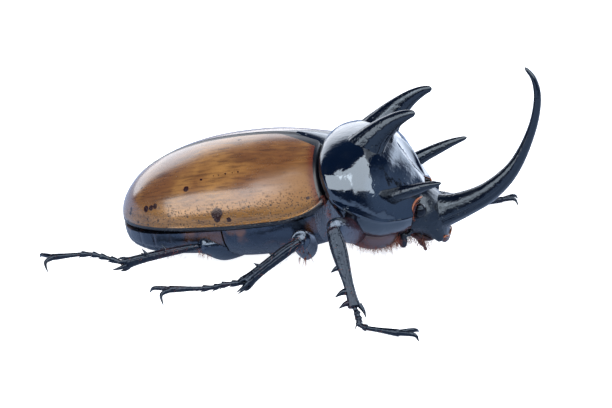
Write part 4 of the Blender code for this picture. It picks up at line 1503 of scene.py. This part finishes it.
    def build(self, finish: Material) -> None:
        """Makes the three coat pieces."""
        self.coat("breast_fringe", self.breast(), finish, "belly")
        self.coat("mouth_fringe", self.mouth(), finish, "belly")
        self.coat("leg_bristles", self.legs(), finish, "leg_cuticle")


def build_shield(finish: Material) -> None:
    """Makes the small three-cornered shield between the wing cases' bases."""
    keys = [(4.2, 0.0, 22.7, 0.8, 3.1), (1.8, 0.0, 23.15, 0.75, 2.2), (-0.5, 0.0, 23.5, 0.6, 1.1),
            (-2.0, 0.0, 23.7, 0.4, 0.4)]
    grid = sweep(keys, 50, 50, wide=UP, blunt=(0.0, 0.1))
    shield = Surface.of("scutellum_shield", grid, pitted=1.0, dull=0.5)
    shield.build(finish, "black_cuticle", "scutellum")


@dataclass
class Studio:
    """Pale floor, soft lights and the camera at the photograph's angle."""

    azimuth: float = 15.0
    elevation: float = 21.0
    distance: float = 320.0
    target: tuple = (0.0, 0.0, 10.0)
    mm_per_pixel: float = 0.185
    sensor: float = 36.0
    radiance: float = 4.6
    floor_half: float = 3.0

    @staticmethod
    def way(azimuth: float, elevation: float) -> Array:
        """The way out at angles in degrees: azimuth 0 faces its right side, 90 faces its head."""
        a, e = math.radians(azimuth), math.radians(elevation)
        return np.array([math.sin(a) * math.cos(e), -math.cos(a) * math.cos(e), math.sin(e)])

    def camera(self) -> None:
        """Puts the camera at its angle, distance and lens."""
        back = self.way(self.azimuth, self.elevation)
        data = bpy.data.cameras.new("camera")
        data.sensor_width = self.sensor
        data.lens = self.distance / self.mm_per_pixel * self.sensor / PHOTO_WIDTH
        data.clip_start, data.clip_end = 0.01, 10.0
        item = put("camera", data)
        item.location = Vector((np.array(self.target) + MIDDLE + back * self.distance) * MM)
        item.rotation_euler = Vector(-back).to_track_quat("-Z", "Y").to_euler()
        bpy.context.scene.camera = item

    def softbox(self, name: str, azimuth: float, elevation: float, far: float, size: tuple,
                roll: float = 0.0) -> None:
        """A rectangular light aimed at the beetle; its power gives the studio's radiance.

        Args:
            name: the light's name.
            azimuth: degrees round from the beetle's right side.
            elevation: degrees up.
            far: distance in metres.
            size: width and height in metres.
            roll: degrees turned about its own axis.
        """
        way = Vector(self.way(azimuth, elevation))
        light = bpy.data.lights.new(name, "AREA")
        light.shape = "RECTANGLE"
        light.size, light.size_y = size
        light.energy = self.radiance * math.pi * size[0] * size[1]
        item = put(name, light)
        item.location = way * far + Vector((0, 0, 0.012))
        turn = Quaternion(UP, math.radians(roll))
        item.rotation_euler = (way.to_track_quat("Z", "Y") @ turn).to_euler()
        item.visible_camera = False

    def world(self) -> None:
        """A dark blue surround, paler beside the head, with a bright backdrop low behind the beetle."""
        world = bpy.data.worlds.new("studio")
        bpy.context.scene.world = world
        world.use_nodes = True
        tree = Tree(world.node_tree)
        ways = tree.add("SeparateXYZ", in_0=tree.add("TexCoord").outputs["Generated"]).outputs
        behind = tree.ramp(ways[1], 0.44, 0.60)
        ceiling = tree.ramp(ways[2], 0.42, 0.66, 1.0, 0.0)
        beside = tree.ramp(ways[0], 0.70, 0.95, 0.0, 0.5)
        glow = tree.mix(beside, (0.022, 0.055, 0.14), (0.72, 1.0, 1.55))
        backdrop = tree.mix(tree.ramp(ways[0], -0.5, 0.5), (2.1, 2.2, 2.4), (3.4, 3.7, 4.3))
        glow = tree.mix(tree.times(behind, ceiling), glow, backdrop)
        tree.join(glow, world.node_tree.nodes["Background"].inputs["Color"])

    def floor(self) -> None:
        """A floor that the camera sees white, and that looks dim and bluish in the beetle's gloss."""
        size = self.floor_half
        mesh = bpy.data.meshes.new("floor")
        corners = [(-size, -size, 0), (size, -size, 0), (size, size, 0), (-size, size, 0)]
        mesh.from_pydata(corners, [], [(0, 1, 2, 3)])
        item = put("floor", mesh)
        paint = Paint("pale_floor")
        seen = paint.add("LightPath").outputs["Is Camera Ray"]
        mesh.materials.append(paint.set(
            Base_Color=paint.mix(seen, (0.27, 0.34, 0.46), (0.60, 0.60, 0.60)),
            Emission_Color=paint.mix(seen, (0.08, 0.10, 0.16), (0.95, 0.97, 1.0)),
            Emission_Strength=1.0, Roughness=0.9, Specular_IOR_Level=0.0))

    def build(self) -> None:
        """Sets the whole studio."""
        self.camera()
        self.world()
        self.floor()
        self.softbox("left_box", -37, 30, 0.36, (0.42, 0.24), 30)
        self.softbox("right_box", 43, 54, 0.37, (0.54, 0.46))
        bpy.context.scene.view_settings.view_transform = "Standard"


BLACKS = {
    "shield": BlackCuticle("polished_black"),
    "shins": BlackCuticle(
        "satin_leg", (0.0010, 0.0018, 0.0042), roughness=0.10, pit_scale=1700.0, pit_cover=0.5,
        pit_depth=0.1, wave_scale=700.0, wave_share=0.5, wave_depth=1.5, gloss=0.33, coat=0.0,
        blotch=0.10, sheen_cast=(0.62, 0.78, 1.0, 1.0)),
    "horns": BlackCuticle(
        "horn_black", roughness=0.17, pit_depth=0.15, wave_scale=330.0, wave_depth=0.8,
        wave_share=0.8, wrinkle=1.1, gloss=0.46, coat=0.05, red=(0.20, 0.055, 0.014)),
    "belly": BlackCuticle(
        "belly_plates", (0.0014, 0.0022, 0.0050), roughness=0.15, pit_scale=2200.0, pit_depth=0.2,
        wave_depth=0.7, coat=0.0, blotch=0.5, sheen_cast=(0.60, 0.76, 1.0, 1.0),
        red=(0.090, 0.036, 0.011)),
    "thighs": BlackCuticle(
        "thigh_satin", (0.0012, 0.0022, 0.0052), roughness=0.16, pit_scale=2200.0, pit_depth=0.2,
        wave_scale=400.0, wave_depth=0.6, gloss=0.95, coat=0.0, sheen_cast=(0.66, 0.80, 1.0, 1.0)),
}


def main() -> None:
    """Builds the beetle piece by piece, dresses it and sets the studio."""
    logging.basicConfig(level=logging.INFO, format="%(name)s %(message)s")
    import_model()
    pits, relief = pits_group(), relief_group()
    black = {word: finish.material(pits, relief) for word, finish in BLACKS.items()}
    body = Body()
    WingCases(body).build(WingCaseFinish().material(pits, relief))
    Trunk(body).build(black["belly"])
    Prothorax().build(black["shield"], black["belly"])
    Horns().build(black["horns"])
    Head().build(black["horns"], EyeFinish().material())
    build_shield(black["shield"])
    for (pair, side), places in LEG_PLACES.items():
        Leg(pair, side, *places, *LEG_SIZES[pair]).build(black["shins"], black["thighs"])
    Bristles().build(HairFinish().material())
    Studio().build()


if __name__ == "__main__":
    main()
